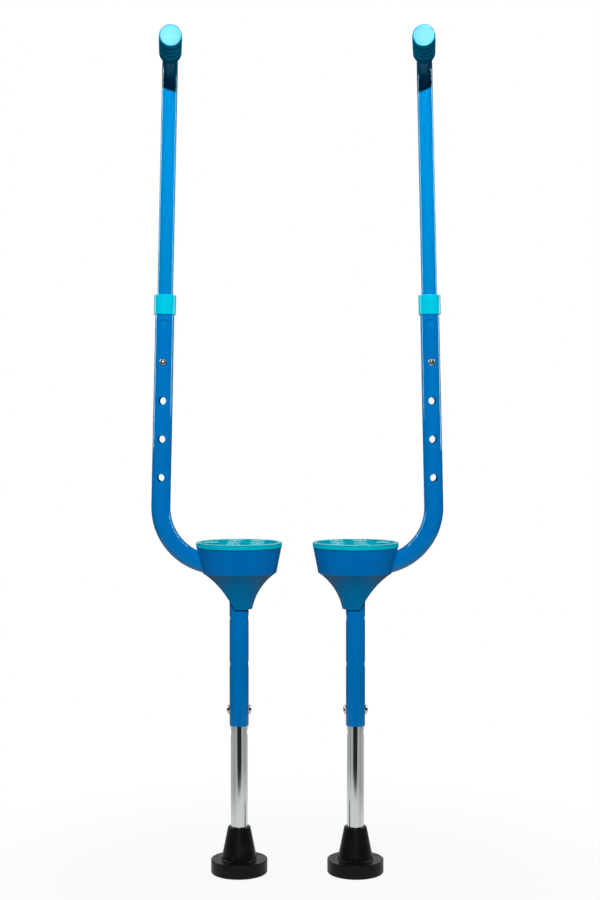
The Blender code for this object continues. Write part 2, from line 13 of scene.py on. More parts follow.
import bmesh
import bpy
import numpy as np
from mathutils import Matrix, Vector


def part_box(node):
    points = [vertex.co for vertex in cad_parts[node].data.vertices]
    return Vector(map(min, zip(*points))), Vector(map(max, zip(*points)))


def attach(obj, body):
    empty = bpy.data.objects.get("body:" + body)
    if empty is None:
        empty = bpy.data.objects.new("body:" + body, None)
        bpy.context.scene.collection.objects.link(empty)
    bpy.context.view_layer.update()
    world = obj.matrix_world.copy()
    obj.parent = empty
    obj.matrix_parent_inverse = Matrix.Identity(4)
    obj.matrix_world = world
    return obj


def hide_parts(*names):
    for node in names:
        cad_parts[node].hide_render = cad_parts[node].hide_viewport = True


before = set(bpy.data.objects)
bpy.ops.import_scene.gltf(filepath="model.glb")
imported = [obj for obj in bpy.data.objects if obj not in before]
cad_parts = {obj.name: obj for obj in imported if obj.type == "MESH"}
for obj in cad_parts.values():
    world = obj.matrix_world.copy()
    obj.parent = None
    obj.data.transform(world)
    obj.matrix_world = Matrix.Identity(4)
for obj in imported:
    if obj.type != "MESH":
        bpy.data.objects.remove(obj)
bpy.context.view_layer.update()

LOG = logging.getLogger("stilts")
FULL_TURN = 2 * math.pi
QUARTER_TURN = math.pi / 2
SAME_SPOT = 2e-6
SLACK = 1e-9

Pair = tuple[float, float]
Triple = tuple[float, float, float]


class Side(Enum):
    """One stilt of the pair. The value is the way that faces outwards, along X."""

    LEFT = -1
    RIGHT = 1

    @property
    def prefix(self) -> str:
        """Start of the names of this side's pieces."""
        return self.name.lower()


class Slot(Enum):
    """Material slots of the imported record."""

    BLUE_PAINT = "blue_paint"
    BLUE_PLASTIC = "blue_plastic"
    TURQUOISE_PLASTIC = "turquoise_plastic"
    TURQUOISE_GRIP = "turquoise_grip"
    CHROME = "chrome"
    PLAIN_STEEL = "plain_steel"
    BLACK_RUBBER = "black_rubber"


def moved(x: float = 0.0, y: float = 0.0, z: float = 0.0) -> np.ndarray:
    """Matrix that shifts by x, y and z."""
    matrix = np.eye(4)
    matrix[:3, 3] = (x, y, z)
    return matrix


def turned(axis: str, angle: float) -> np.ndarray:
    """Matrix that turns about a main axis by the right-hand rule.

    Args:
        axis: "x", "y" or "z".
        angle: Turn in radians.

    Returns:
        A 4 by 4 matrix.
    """
    first, second = {"x": (1, 2), "y": (2, 0), "z": (0, 1)}[axis]
    matrix = np.eye(4)
    matrix[first, first] = matrix[second, second] = math.cos(angle)
    matrix[second, first] = math.sin(angle)
    matrix[first, second] = -math.sin(angle)
    return matrix


@dataclass
class Sheet:
    """Points and four-cornered faces of a surface, before it becomes a mesh."""

    points: np.ndarray
    faces: np.ndarray

    def placed(self, matrix: np.ndarray) -> "Sheet":
        """The same surface, moved by a 4 by 4 matrix."""
        return Sheet(self.points @ matrix[:3, :3].T + matrix[:3, 3], self.faces)

    def joined(self, other: "Sheet") -> "Sheet":
        """This surface and another as one."""
        faces = np.vstack([self.faces, other.faces + len(self.points)])
        return Sheet(np.vstack([self.points, other.points]), faces)


def grid_faces(rows: int, columns: int, ring: bool) -> np.ndarray:
    """Faces of a grid of points stored row by row.

    Args:
        rows: Number of rows of points.
        columns: Number of points in a row.
        ring: Whether the last column joins on to the first.

    Returns:
        Four point numbers per face. A face runs along its row first, then to the next row.
    """
    row, column = np.indices((rows - 1, columns if ring else columns - 1)).reshape(2, -1)
    after = (column + 1) % columns
    here, above = row * columns, (row + 1) * columns
    return np.stack([here + column, here + after, above + after, above + column], axis=1)


def rounded(corners: Sequence[Triple], steps: int = 5, closed: bool = True) -> np.ndarray:
    """Outline whose corners are arcs.

    Each corner P with the neighbours A and B becomes the circle arc that touches PA and PB, written as the
    rational quadratic curve through its two touching points with P as its control point. A short straight
    lead before and after each arc keeps the shading of the flats even.

    Args:
        corners: Points (x, z, rounding radius) in order.
        steps: Straight pieces in each arc.
        closed: Whether the last corner joins on to the first.

    Returns:
        The outline's points, one row each.
    """
    lead_share, smallest = 0.35, 1e-6
    table = np.asarray(corners, float)
    point, radius = table[:, :2], table[:, 2]
    before, after = np.roll(point, 1, axis=0) - point, np.roll(point, -1, axis=0) - point
    if not closed:
        before[0], after[-1] = -after[0], -before[-1]
    before /= np.linalg.norm(before, axis=1, keepdims=True)
    after /= np.linalg.norm(after, axis=1, keepdims=True)
    half = np.arccos(np.clip((before * after).sum(axis=1), -1, 1)) / 2
    cut = (radius / np.maximum(np.tan(half), smallest))[:, None]
    share = np.linspace(0, 1, steps + 1)[None, :, None]
    weight = 2 * np.sin(half)[:, None, None] * share * (1 - share)
    start, end = (point + before * cut)[:, None], (point + after * cut)[:, None]
    curve = (1 - share) ** 2 * start + weight * point[:, None] + share**2 * end
    curve /= (1 - share) ** 2 + weight + share**2
    lead = lead_share * cut[:, None]
    curve = np.concatenate([start + before[:, None] * lead, curve, end + after[:, None] * lead], axis=1)
    return curve.reshape(-1, 2)


def refined(outline: np.ndarray, longest: float) -> np.ndarray:
    """Outline with points added along it, so that no straight piece is longer than a given length."""
    length = np.linalg.norm(np.diff(outline, axis=0), axis=1)
    along = np.concatenate([[0], np.cumsum(length)])
    pieces = np.maximum(1, np.ceil(length / longest).astype(int))
    start = np.repeat(along[:-1], pieces)
    step = np.repeat(length / pieces, pieces)
    order = np.arange(pieces.sum()) - np.repeat(np.cumsum(pieces) - pieces, pieces)
    spots = np.append(start + step * order, along[-1])
    return np.stack([np.interp(spots, along, outline[:, k]) for k in (0, 1)], axis=1)


def quarter(steps: int) -> np.ndarray:
    """Cosine and sine of even steps over a quarter turn, one row each."""
    turn = np.linspace(0, QUARTER_TURN, steps + 1)
    return np.stack([np.cos(turn), np.sin(turn)], axis=1)


def spun(outline: np.ndarray, sides: int) -> Sheet:
    """Surface of revolution: (radius, z) points carried round the Z axis as radius * (cos, sin), z."""
    turn = np.arange(sides) * FULL_TURN / sides
    radius, height = outline[:, :1], outline[:, 1:]
    points = np.stack([radius * np.cos(turn), radius * np.sin(turn), height + 0 * turn], axis=2)
    return Sheet(points.reshape(-1, 3), grid_faces(len(outline), sides, True))


@dataclass(frozen=True)
class Run:
    """A stretch of a tube's centre line: straight, or a bend about an axis by the right-hand rule."""

    length: float
    turn: float = 0.0
    axis: Triple = (0.0, 1.0, 0.0)


@dataclass(frozen=True)
class Hole:
    """A round hole drilled into a tube, along the tube from its start and round it from +X."""

    along: float
    turn: float
    radius: float


@dataclass
class Line:
    """Centre line of a tube that starts upwards from a point."""

    start: Sequence[float]
    runs: Sequence[Run]

    @property
    def length(self) -> float:
        """Length of all runs together."""
        return sum(run.length for run in self.runs)

    def frames(self, along: np.ndarray) -> tuple[np.ndarray, np.ndarray]:
        """Points of the line and the two directions across it.

        On a straight run the point moves on by the distance times T. On a bend of radius r about the axis a,
        it moves by r sin(t) T + r (1 - cos(t)) (a x T), and T and the directions across turn by the angle t.

        Args:
            along: Distances from the line's start.

        Returns:
            The points, and for each a 3 by 3 array whose rows are the two directions across and T.
        """
        place, axes = np.asarray(self.start, float), np.eye(3)
        points, frames = np.zeros((len(along), 3)), np.zeros((len(along), 3, 3))
        begin = 0.0
        for number, run in enumerate(self.runs):
            last = number == len(self.runs) - 1
            here = (along >= begin - SLACK) & ((along < begin + run.length - SLACK) | last)
            spots = np.append(along[here] - begin, run.length)
            axis = np.asarray(run.axis, float)
            if run.turn:
                angle = (spots / run.length * run.turn)[:, None]
                radius = run.length / run.turn
                way = radius * (np.sin(angle) * axes[2] + (1 - np.cos(angle)) * np.cross(axis, axes[2]))
                angle = angle[:, :, None]
                across, kept = np.cross(axis, axes), (axes @ axis)[:, None] * axis
                frame_here = axes * np.cos(angle) + across * np.sin(angle) + kept * (1 - np.cos(angle))
            else:
                way = spots[:, None] * axes[2]
                frame_here = np.repeat(axes[None], len(spots), axis=0)
            points[here], frames[here] = place + way[:-1], frame_here[:-1]
            place, axes = place + way[-1], frame_here[-1]
            begin += run.length
        return points, frames


@dataclass
class DrilledTube:
    """Outer face of a tube along a line, with round holes whose rims are slightly rolled in.

    A row of rings is a ring of points round each hole: its share of the way from the square of cells to the
    hole's circle, and how many rims it is wider than the hole and sunk into it.
    """

    line: Line
    radius: float
    holes: Sequence[Hole] = ()
    columns: int = 48
    straight_step: float = 0.012
    bend_step: float = 0.0025
    patch: int = 12
    patch_margin: float = 1.15
    rim: float = 0.0003
    rings: tuple[Triple, ...] = ((0.4, 1, 0), (0.75, 1, 0), (1, 1, 0), (1, 0.35, 0.3), (1, 0, 1))

    def stations(self) -> np.ndarray:
        """Distances along the line of the grid's rows: even steps, but a fixed number across each hole."""
        half = self.patch_half()
        centres = sorted({round(hole.along, 7) for hole in self.holes})
        rows = [np.linspace(centre - half, centre + half, self.patch + 1) for centre in centres]
        begin = 0.0
        for run in self.line.runs:
            count = max(1, round(run.length / (self.bend_step if run.turn else self.straight_step)))
            even = begin + np.linspace(0, run.length, count + 1)
            clear = np.ones(len(even), bool)
            for centre in centres:
                clear &= np.abs(even - centre) > half * self.patch_margin
            rows.append(even[clear])
            begin += run.length
        return np.unique(np.round(np.concatenate(rows), 9))

    def patch_half(self) -> float:
        """Half the length of the square of grid cells that makes way for a hole."""
        return self.radius * FULL_TURN * self.patch / self.columns / 2

    def sheet(self) -> Sheet:
        """The tube's face as one surface.

        A point at s, t is P(s) + radius * (cos(t) U(s) + sin(t) V(s)). Round each hole, the cells of a square
        are left out, and rings of points lead from the square's border to the hole's circle: a share of the
        way in s and t, with t - t0 = asin(x / radius) for a point x beside the drill's axis.

        Returns:
            An open surface, facing outwards.
        """
        rows, columns, patch = self.stations(), self.columns, self.patch
        cell = FULL_TURN / columns
        s, t = np.meshgrid(rows, np.arange(columns) * cell, indexing="ij")
        spots = [np.column_stack([s.ravel(), t.ravel(), np.zeros(s.size)])]
        kept = np.ones((len(rows) - 1, columns), bool)
        added, total = [], s.size
        side = np.arange(patch)
        near, far = 0 * side, 0 * side + patch
        row = np.concatenate([near, side, far, patch - side])
        column = np.concatenate([side, far, patch - side, near])
        up, round_it = row / (patch / 2) - 1, column / (patch / 2) - 1
        angle = np.arctan2(up, round_it)
        for hole in self.holes:
            first = int(np.argmin(np.abs(rows - (hole.along - self.patch_half()))))
            left = round(hole.turn / cell) - patch // 2
            kept[first : first + patch, np.arange(left, left + patch) % columns] = False
            outer = (first + row) * columns + (left + column) % columns
            edge = np.column_stack([rows[first + row] - hole.along, round_it * cell * patch / 2])
            for share, grow, sink in self.rings:
                size = hole.radius + grow * self.rim
                beside = np.arcsin(size * np.cos(angle) / self.radius)
                circle = np.column_stack([size * np.sin(angle), beside])
                spot = edge * (1 - share) + circle * share + (hole.along, hole.turn)
                spots.append(np.column_stack([spot, np.full(len(spot), -sink * self.rim)]))
            new = np.arange(len(self.rings) * len(outer)).reshape(len(self.rings), -1)
            numbers = np.vstack([outer, total + new])
            total += new.size
            after = np.roll(numbers, -1, axis=1)
            corners = np.stack([numbers[:-1], after[:-1], after[1:], numbers[1:]], axis=2)
            added.append(corners.reshape(-1, 4))
        spot = np.vstack(spots)
        points, frames = self.line.frames(spot[:, 0])
        out = np.cos(spot[:, 1:2]) * frames[:, 0] + np.sin(spot[:, 1:2]) * frames[:, 1]
        faces = grid_faces(len(rows), columns, True)[kept.ravel()]
        return Sheet(points + (self.radius + spot[:, 2:]) * out, np.vstack([faces, *added]))


def operator(operation: str, swapped: bool = False) -> Callable[..., "Value"]:
    """Method of a value that adds one Math node.

    Args:
        operation: Blender's name of the operation.
        swapped: Whether the other value comes first.

    Returns:
        The method. Its argument is the other value, if the operation takes one.
    """

    def method(self: "Value", other: Any = 0.0) -> "Value":
        """The operation on this value and another."""
        sockets = {0: other, 1: self} if swapped else {0: self, 1: other}
        return self.nodes.add("ShaderNodeMath", {"operation": operation}, sockets)

    return method


class Value:
    """A number that a node gives. Arithmetic on it adds Math nodes."""

    __add__, __radd__ = operator("ADD"), operator("ADD", True)
    __sub__, __rsub__ = operator("SUBTRACT"), operator("SUBTRACT", True)
    __mul__, __rmul__ = operator("MULTIPLY"), operator("MULTIPLY", True)
    __pow__, larger, cosine = operator("POWER"), operator("MAXIMUM"), operator("COSINE")

    def __init__(self, nodes: "Nodes", socket: Any) -> None:
        """Keep the socket and the nodes that it belongs to."""
        self.nodes = nodes
        self.socket = socket

    def within(self, low: float, high: float) -> "Value":
        """0 at the low end and 1 at the high end, smooth between."""
        sockets = {"Value": self, "From Min": low, "From Max": high}
        return self.nodes.add("ShaderNodeMapRange", {"interpolation_type": "SMOOTHSTEP"}, sockets)


class Nodes:
    """A node tree under construction."""

    def __init__(self, tree: Any) -> None:
        """Start on an empty tree."""
        self.tree = tree
        tree.nodes.clear()

    def add(
        self, kind: str, settings: Optional[dict] = None, sockets: Optional[dict] = None, output: Any = 0
    ) -> Value:
        """Add one node.

        Args:
            kind: Blender's name of the node type.
            settings: Properties of the node, set first.
            sockets: Value, link or colour of each input socket, by name or number.
            output: Name or number of the output that is wanted.

        Returns:
            The wanted output.
        """
        node = self.tree.nodes.new(kind)
        for name, value in (settings or {}).items():
            setattr(node, name, value)
        for name, value in (sockets or {}).items():
            if isinstance(value, Value):
                self.tree.links.new(value.socket, node.inputs[name])
            else:
                node.inputs[name].default_value = value
        return Value(self, node.outputs[output] if node.outputs else None)

    def place(self, scale: Sequence[float] = (1, 1, 1)) -> Value:
        """Object coordinates, stretched."""
        spot = self.add("ShaderNodeTexCoord", output="Object")
        return self.add("ShaderNodeMapping", sockets={"Vector": spot, "Scale": tuple(scale)})

    def part(self, axis: int, vector: Optional[Value] = None) -> Value:
        """Part of a vector along X, Y or Z (0, 1 or 2). Without a vector, of the Object coordinates."""
        return self.add("ShaderNodeSeparateXYZ", None, {0: vector or self.place()}, axis)

    def ray(self, kind: str) -> Value:
        """1 for rays of a kind such as "Camera", and 0 for others."""
        return self.add("ShaderNodeLightPath", output=f"Is {kind} Ray")

    def noise(
        self, cells: float, detail: float = 2.0, stretch: Sequence[float] = (1, 1, 1), rough: float = 0.5
    ) -> Value:
        """Cloudy noise from 0 to 1, so many cells to the metre."""
        sockets = {"Vector": self.place(stretch), "Scale": cells, "Detail": detail, "Roughness": rough}
        return self.add("ShaderNodeTexNoise", None, sockets, "Fac")

    def mixed(self, share: Any, first: Any, second: Any) -> Value:
        """Colour between two colours."""
        return self.add("ShaderNodeMix", {"data_type": "RGBA"}, {0: share, 6: first, 7: second}, 2)

    def bump(self, height: Value, strength: float, distance: float) -> Value:
        """Normal that a height gives."""
        sockets = {"Height": height, "Strength": strength, "Distance": distance}
        return self.add("ShaderNodeBump", None, sockets, "Normal")

    def grey(self, tone: Value) -> Value:
        """Grey of a tone."""
        return self.add("ShaderNodeCombineColor", None, {0: tone, 1: tone, 2: tone})

    def surface(self, shader: Value) -> None:
        """Make a shader the material's surface."""
        self.add("ShaderNodeOutputMaterial", None, {"Surface": shader})


CYAN_SHEEN = (0.2, 1.0, 0.85, 1.0)
MATT_SPREAD = 0.35


def solid(colour: Triple, gain: float = 1.0) -> tuple[float, float, float, float]:
    """Colour with full alpha, made lighter or darker."""
    return (colour[0] * gain, colour[1] * gain, colour[2] * gain, 1.0)


@dataclass(frozen=True)
class Finish:
    """What all finishes share: a base colour and how rough it is."""

    name: str
    slot: Slot
    colour: Triple
    roughness: float

    def material(self) -> bpy.types.Material:
        """The finish as a material, made once."""
        made = bpy.data.materials.get(self.name)
        if made is None:
            made = bpy.data.materials.new(self.name)
            made.use_nodes = True
            nodes = Nodes(made.node_tree)
            nodes.surface(nodes.add("ShaderNodeBsdfPrincipled", None, self.sockets(nodes), "BSDF"))
        return made

    def sockets(self, nodes: Nodes) -> dict:
        """Values and links of the Principled shader's sockets."""
        raise NotImplementedError

    def varied(self, nodes: Nodes, share: Value, gains: Pair) -> Value:
        """Base colour whose gain goes from the first to the second by a share."""
        return nodes.mixed(share, solid(self.colour, gains[0]), solid(self.colour, gains[1]))


@dataclass(frozen=True)
class Enamel(Finish):
    """Baked enamel on steel tube: slight orange peel, faint clouding, a few dust nibs and a tinted gloss."""

    cloud_gains: Pair = (0.93, 1.07)
    gloss_drift: float = 0.010
    nibs: Pair = (0.73, 0.80)
    nib_share: float = 0.25
    nib_gain: float = 1.5
    nib_height: float = 0.6
    nib_dulling: float = 0.2
    peel: float = 0.020
    peel_depth: float = 0.0006

    def sockets(self, nodes: Nodes) -> dict:
        """Clouded colour, gloss that varies a little, and the peel as bump."""
        nib = nodes.noise(cells=520, detail=1).within(*self.nibs)
        colour = self.varied(nodes, nodes.noise(cells=14, detail=3), self.cloud_gains)
        drift = self.gloss_drift * nodes.noise(cells=60, detail=3)
        height = nodes.noise(cells=650) + self.nib_height * nib
        return {
            "Base Color": nodes.mixed(nib * self.nib_share, colour, solid(self.colour, self.nib_gain)),
            "Roughness": self.roughness + drift + self.nib_dulling * nib,
            "Normal": nodes.bump(height, self.peel, self.peel_depth),
            "Diffuse Roughness": MATT_SPREAD,
            "Specular Tint": CYAN_SHEEN,
        }


@dataclass(frozen=True)
class Moulded(Finish):
    """Moulded plastic: fine spark-eroded grain, flow clouding, small scuffs and, if any, a clear film."""

    sheen: float = 0.5
    film: float = 0.0
    film_roughness: float = 0.3
    grain: float = 1500.0
    relief: float = 0.12
    relief_depth: float = 0.0003
    flow_gains: Pair = (0.92, 1.08)
    flow_dulling: float = 0.05
    scuffs: Pair = (0.60, 0.74)
    scuff_share: float = 0.12
    scuff_gain: float = 1.35
    scuff_dulling: float = 0.10

    def sockets(self, nodes: Nodes) -> dict:
        """Clouded colour, scuffs that dull the sheen, and the grain as bump."""
        flow = nodes.noise(cells=22, detail=3, stretch=(1, 1, 2.5))
        scuff = nodes.noise(cells=95, detail=5, stretch=(1, 1, 0.35), rough=0.65).within(*self.scuffs)
        colour = self.varied(nodes, flow, self.flow_gains)
        return {
            "Base Color": nodes.mixed(scuff * self.scuff_share, colour, solid(self.colour, self.scuff_gain)),
            "Roughness": self.roughness + self.scuff_dulling * scuff + self.flow_dulling * flow,
            "Normal": nodes.bump(nodes.noise(self.grain), self.relief, self.relief_depth),
            "Diffuse Roughness": MATT_SPREAD,
            "Specular IOR Level": self.sheen,
            "Specular Tint": CYAN_SHEEN,
            "Coat Weight": self.film,
            "Coat Roughness": self.film_roughness,
        }


@dataclass(frozen=True)
class Trodden(Moulded):
    """Moulded plastic of a tread: tops painted pale (wear and painted highlight), stud feet painted dark
    (grime and painted shade), no film on the floor.

    The pairs are heights over the recess floor between which each change takes place.
    """

    floor: float = 0.4307
    raised: Pair = (0.0001, 0.0003)
    soiled_and_shaded: Pair = (0.0005, 0.0009)
    rubbed_and_highlit: Pair = (0.0008, 0.0012)
    # Pale colour of the tops: wear and painted highlight.
    worn_and_highlit: Triple = (0.16, 0.88, 0.96)
    worn_and_highlit_share: float = 0.9
    # Dark colour at the stud feet: grime and painted shade.
    grime_and_shade: Triple = (0.0, 0.10, 0.14)
    grime_and_shade_share: float = 0.9

    def sockets(self, nodes: Nodes) -> dict:
        """As moulded, coloured by height, with the clear film only above the recess floor."""
        found = super().sockets(nodes)
        height = nodes.part(2) - self.floor
        raised = height.within(*self.raised)
        # Grime and painted shade: the foot of each stud, just over the recess floor, is painted dark.
        foot = raised * (1 - height.within(*self.soiled_and_shaded))
        colour = nodes.mixed(foot * self.grime_and_shade_share, found["Base Color"], solid(self.grime_and_shade))
        # Wear and painted highlight: the stud tops and the lip's top are painted pale.
        rubbed_and_highlit = height.within(*self.rubbed_and_highlit)
        found["Base Color"] = nodes.mixed(rubbed_and_highlit * self.worn_and_highlit_share, colour, solid(self.worn_and_highlit))
        found["Coat Weight"] = self.film * raised
        return found


@dataclass(frozen=True)
class Funnelled(Moulded):
    """Moulded plastic of a cup: a funnel under the band painted darker as painted shade, and duller, and a
    painted shadow line in the joint at the mouth.

    The pairs are heights between which the funnel ends and the painted shadow of the joint begins.
    """

    # Darker blue of the funnel: painted shade on the down-facing part under the band.
    funnel: Triple = (0.0, 0.225, 0.530)
    funnel_dulling: float = 0.3
    funnel_end: Pair = (0.3918, 0.3933)
    # Heights of a painted shadow line in the joint at the mouth, under the tread's rim.
    joint: Pair = (0.4241, 0.4249)
    joint_share: float = 0.5
    joint_gain: float = 0.15

    def sockets(self, nodes: Nodes) -> dict:
        """As moulded, coloured by height."""
        found = super().sockets(nodes)
        height = nodes.part(2)
        band = height.within(*self.funnel_end)
        joint = height.within(*self.joint) * self.joint_share
        # Painted shade: below the band the funnel is painted in its darker blue.
        colour = nodes.mixed(band, solid(self.funnel), found["Base Color"])
        # Painted shadow: the joint under the tread is painted dark.
        found["Base Color"] = nodes.mixed(joint, colour, solid(self.colour, self.joint_gain))
        found["Roughness"] = found["Roughness"] + self.funnel_dulling * (1 - band)
        return found


@dataclass(frozen=True)
class Gripped(Moulded):
    """Moulded plastic of a grip: a clear film on its end face only, a darker, bluer flank (partly its own
    tone, partly painted shade), grime and painted shade in the grooves.

    The pairs are distances along the grip's axis between which its end face begins and its rear, painted dark
    as grime and painted shade, ends.
    """

    turn_in: float = math.radians(5)
    face: Pair = (0.0777, 0.0779)
    rear: Pair = (-0.008, 0.014)
    first_groove: float = 0.0053
    groove_pitch: float = 0.01888
    groove_edge: Pair = (0.45, 0.85)
    # Darker, bluer flank colour: partly the body's own tone, partly painted shade on the underside.
    flank: Triple = (0.0, 0.40, 0.75)
    flank_share: float = 0.85
    # Dark colour of the grooves and the rear: grime and painted shade.
    grime_and_shade: Triple = (0.0, 0.10, 0.24)
    grime_and_shade_share: float = 0.8

    def sockets(self, nodes: Nodes) -> dict:
        """As moulded, told apart along the grip's axis, which is turned in alike on both sides."""
        found = super().sockets(nodes)
        across = nodes.part(0)
        inwards = (across * across) ** 0.5
        along = -math.sin(self.turn_in) * inwards - math.cos(self.turn_in) * nodes.part(1)
        face = along.within(*self.face)
        turn = (along - self.first_groove) * (FULL_TURN / self.groove_pitch)
        # Grime and painted shade: the grooves and the rear, near the tube, are painted dark.
        soiled_and_shaded = turn.cosine().within(*self.groove_edge).larger(1 - along.within(*self.rear))
        # All but the end face takes the flank colour, partly painted shade.
        colour = nodes.mixed(self.flank_share * (1 - face), found["Base Color"], solid(self.flank))
        found["Base Color"] = nodes.mixed(self.grime_and_shade_share * soiled_and_shaded * (1 - face), colour, solid(self.grime_and_shade))
        found["Coat Weight"] = self.film * face
        return found


@dataclass(frozen=True)
class Plated(Finish):
    """Plated or bare metal: polishing lines along the tube, faint hazing and dull flecks."""

    lines: float = 0.05
    haze: float = 0.10
    line_depth: float = 0.0002
    cloud_gains: Pair = (0.95, 1.03)
    flecks: Pair = (0.70, 0.80)
    fleck_dulling: float = 0.12

    def sockets(self, nodes: Nodes) -> dict:
        """Metal whose gloss varies along the polishing lines."""
        line = nodes.noise(cells=1400, stretch=(1, 1, 0.02))
        cloud = nodes.noise(cells=40, detail=4, stretch=(1, 1, 0.5), rough=0.6)
        fleck = nodes.noise(cells=900).within(*self.flecks)
        return {
            "Base Color": self.varied(nodes, cloud, self.cloud_gains),
            "Metallic": 1.0,
            "Roughness": self.roughness + self.haze * cloud**2 + self.fleck_dulling * fleck,
            "Normal": nodes.bump(line, self.lines, self.line_depth),
        }


@dataclass(frozen=True)
class Rubber(Finish):
    """Moulded rubber: matt with a leathery grain, a little dust and wear near the sole."""

    gains: Pair = (0.8, 1.9)
    sheen: float = 0.15
    dusty: Pair = (0.45, 0.75)
    dust_share: float = 0.5
    dust_dulling: float = 0.16
    wear_heights: Pair = (0.0005, 0.020)
    coarse_share: float = 0.5
    grain: float = 0.22
    grain_depth: float = 0.0003

    def sockets(self, nodes: Nodes) -> dict:
        """Dusty near-black colour and a fine grain over a coarse one as bump."""
        dust = nodes.noise(cells=70, detail=5, stretch=(1, 1, 1.6), rough=0.62).within(*self.dusty)
        wear = (1 - nodes.part(2).within(*self.wear_heights)) * nodes.noise(cells=160, detail=3)
        height = nodes.noise(cells=1100, detail=3) + self.coarse_share * nodes.noise(cells=260)
        return {
            "Base Color": self.varied(nodes, (dust * self.dust_share).larger(wear), self.gains),
            "Roughness": self.roughness + self.dust_dulling * dust,
            "Normal": nodes.bump(height, self.grain, self.grain_depth),
            "Specular IOR Level": self.sheen,
        }


TUBE_ENAMEL = Enamel("tube_enamel", Slot.BLUE_PAINT, (0.0, 0.262, 0.745), 0.018)
# Painted light: the riser's enamel is a lighter, greener copy of the tube's, standing in for the sheen near
# the lamp at the top.
LIT_RISER_ENAMEL = Enamel("lit_riser_enamel", Slot.BLUE_PAINT, (0.0, 0.312, 0.745), 0.018)
CUP_PLASTIC = Funnelled("cup_plastic", Slot.BLUE_PLASTIC, (0.0, 0.222, 0.680), 0.14, sheen=0.15)
TREAD_PLASTIC = Trodden(
    "tread_plastic", Slot.TURQUOISE_PLASTIC, (0.0, 0.660, 0.860), 0.30,
    sheen=0.0, film=0.40, film_roughness=0.12,
)
COLLAR_PLASTIC = Moulded("collar_plastic", Slot.TURQUOISE_PLASTIC, (0.0, 0.760, 0.980), 0.10)
GRIP_PLASTIC = Gripped(
    "grip_plastic", Slot.TURQUOISE_GRIP, (0.0, 0.555, 0.770), 0.40,
    sheen=0.0, film=1.0, film_roughness=0.45, grain=1100.0, relief=0.18,
)
TUBE_CHROME = Plated("tube_chrome", Slot.CHROME, (0.77, 0.82, 0.79), 0.05)
BOLT_CHROME = Plated("bolt_chrome", Slot.CHROME, (0.80, 0.81, 0.79), 0.06)
BUTTON_CHROME = Plated("button_chrome", Slot.CHROME, (0.50, 0.52, 0.53), 0.14)
ZINC_STEEL = Plated("zinc_steel", Slot.PLAIN_STEEL, (0.52, 0.53, 0.55), 0.32, lines=0.10, haze=0.20)
FOOT_RUBBER = Rubber("foot_rubber", Slot.BLACK_RUBBER, (0.0080, 0.0080, 0.0068), 0.34)


@dataclass
class Piece:
    """A surface that becomes one object of the scene."""

    name: str
    sheet: Sheet
    finish: Finish
    body: str
    node: str
    wall: float = 0.0
    smooth: float = 38.0

    def make(self) -> None:
        """Mesh, wall, shading, finish, and what the piece rides on and stands for."""
        mesh = bpy.data.meshes.new(self.name)
        used, faces = np.unique(self.sheet.faces, return_inverse=True)
        mesh.from_pydata(self.sheet.points[used].tolist(), [], faces.reshape(-1, 4).tolist())
        shape = bmesh.new()
        shape.from_mesh(mesh)
        bmesh.ops.remove_doubles(shape, verts=shape.verts, dist=SAME_SPOT)
        bmesh.ops.recalc_face_normals(shape, faces=shape.faces)
        shape.to_mesh(mesh)
        shape.free()
        thing = bpy.data.objects.new(self.name, mesh)
        bpy.context.scene.collection.objects.link(thing)
        if self.wall:
            self.thicken(thing)
        thing.data.shade_smooth()
        thing.data.set_sharp_from_angle(angle=math.radians(self.smooth))
        thing.data.materials.append(self.finish.material())
        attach(thing, self.body)
        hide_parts(self.node)
        LOG.info("%s: %d faces on %s", self.name, len(thing.data.polygons), self.body)

    def thicken(self, thing: bpy.types.Object) -> None:
        """Give an open surface its wall, on the inner side, and keep the result as the mesh."""
        wall = thing.modifiers.new("wall", "SOLIDIFY")
        wall.thickness = self.wall
        wall.offset = -1
        wall.use_even_offset = True
        graph = bpy.context.evaluated_depsgraph_get()
        result = bpy.data.meshes.new_from_object(thing.evaluated_get(graph))
        thing.modifiers.clear()
        old, thing.data = thing.data, result
        bpy.data.meshes.remove(old)


@dataclass
class SpringButton:
    """Domed button of a spring clip, turned about the line that it travels along."""

    hole_radius: float
    seat: float
    flange_lip: float
    tube_radius: float
    clearance: float = 0.0005
    flange: float = 0.0010
    stand_out: float = 0.0040
    dome: float = 0.0030

    def sheet(self) -> Sheet:
        """Flange, stem and a dome that is a quarter ellipse, carried round the Z axis."""
        radius, rim = self.hole_radius - self.clearance, self.hole_radius + self.flange_lip
        shoulder = self.tube_radius + self.stand_out - self.dome
        dome = quarter(steps=12) * (radius, self.dome) + (0, shoulder)
        low = self.seat - self.flange
        foot = [(0.0, low), (rim, low), (rim, self.seat), (radius, self.seat)]
        return spun(np.vstack([foot, dome]), sides=40)


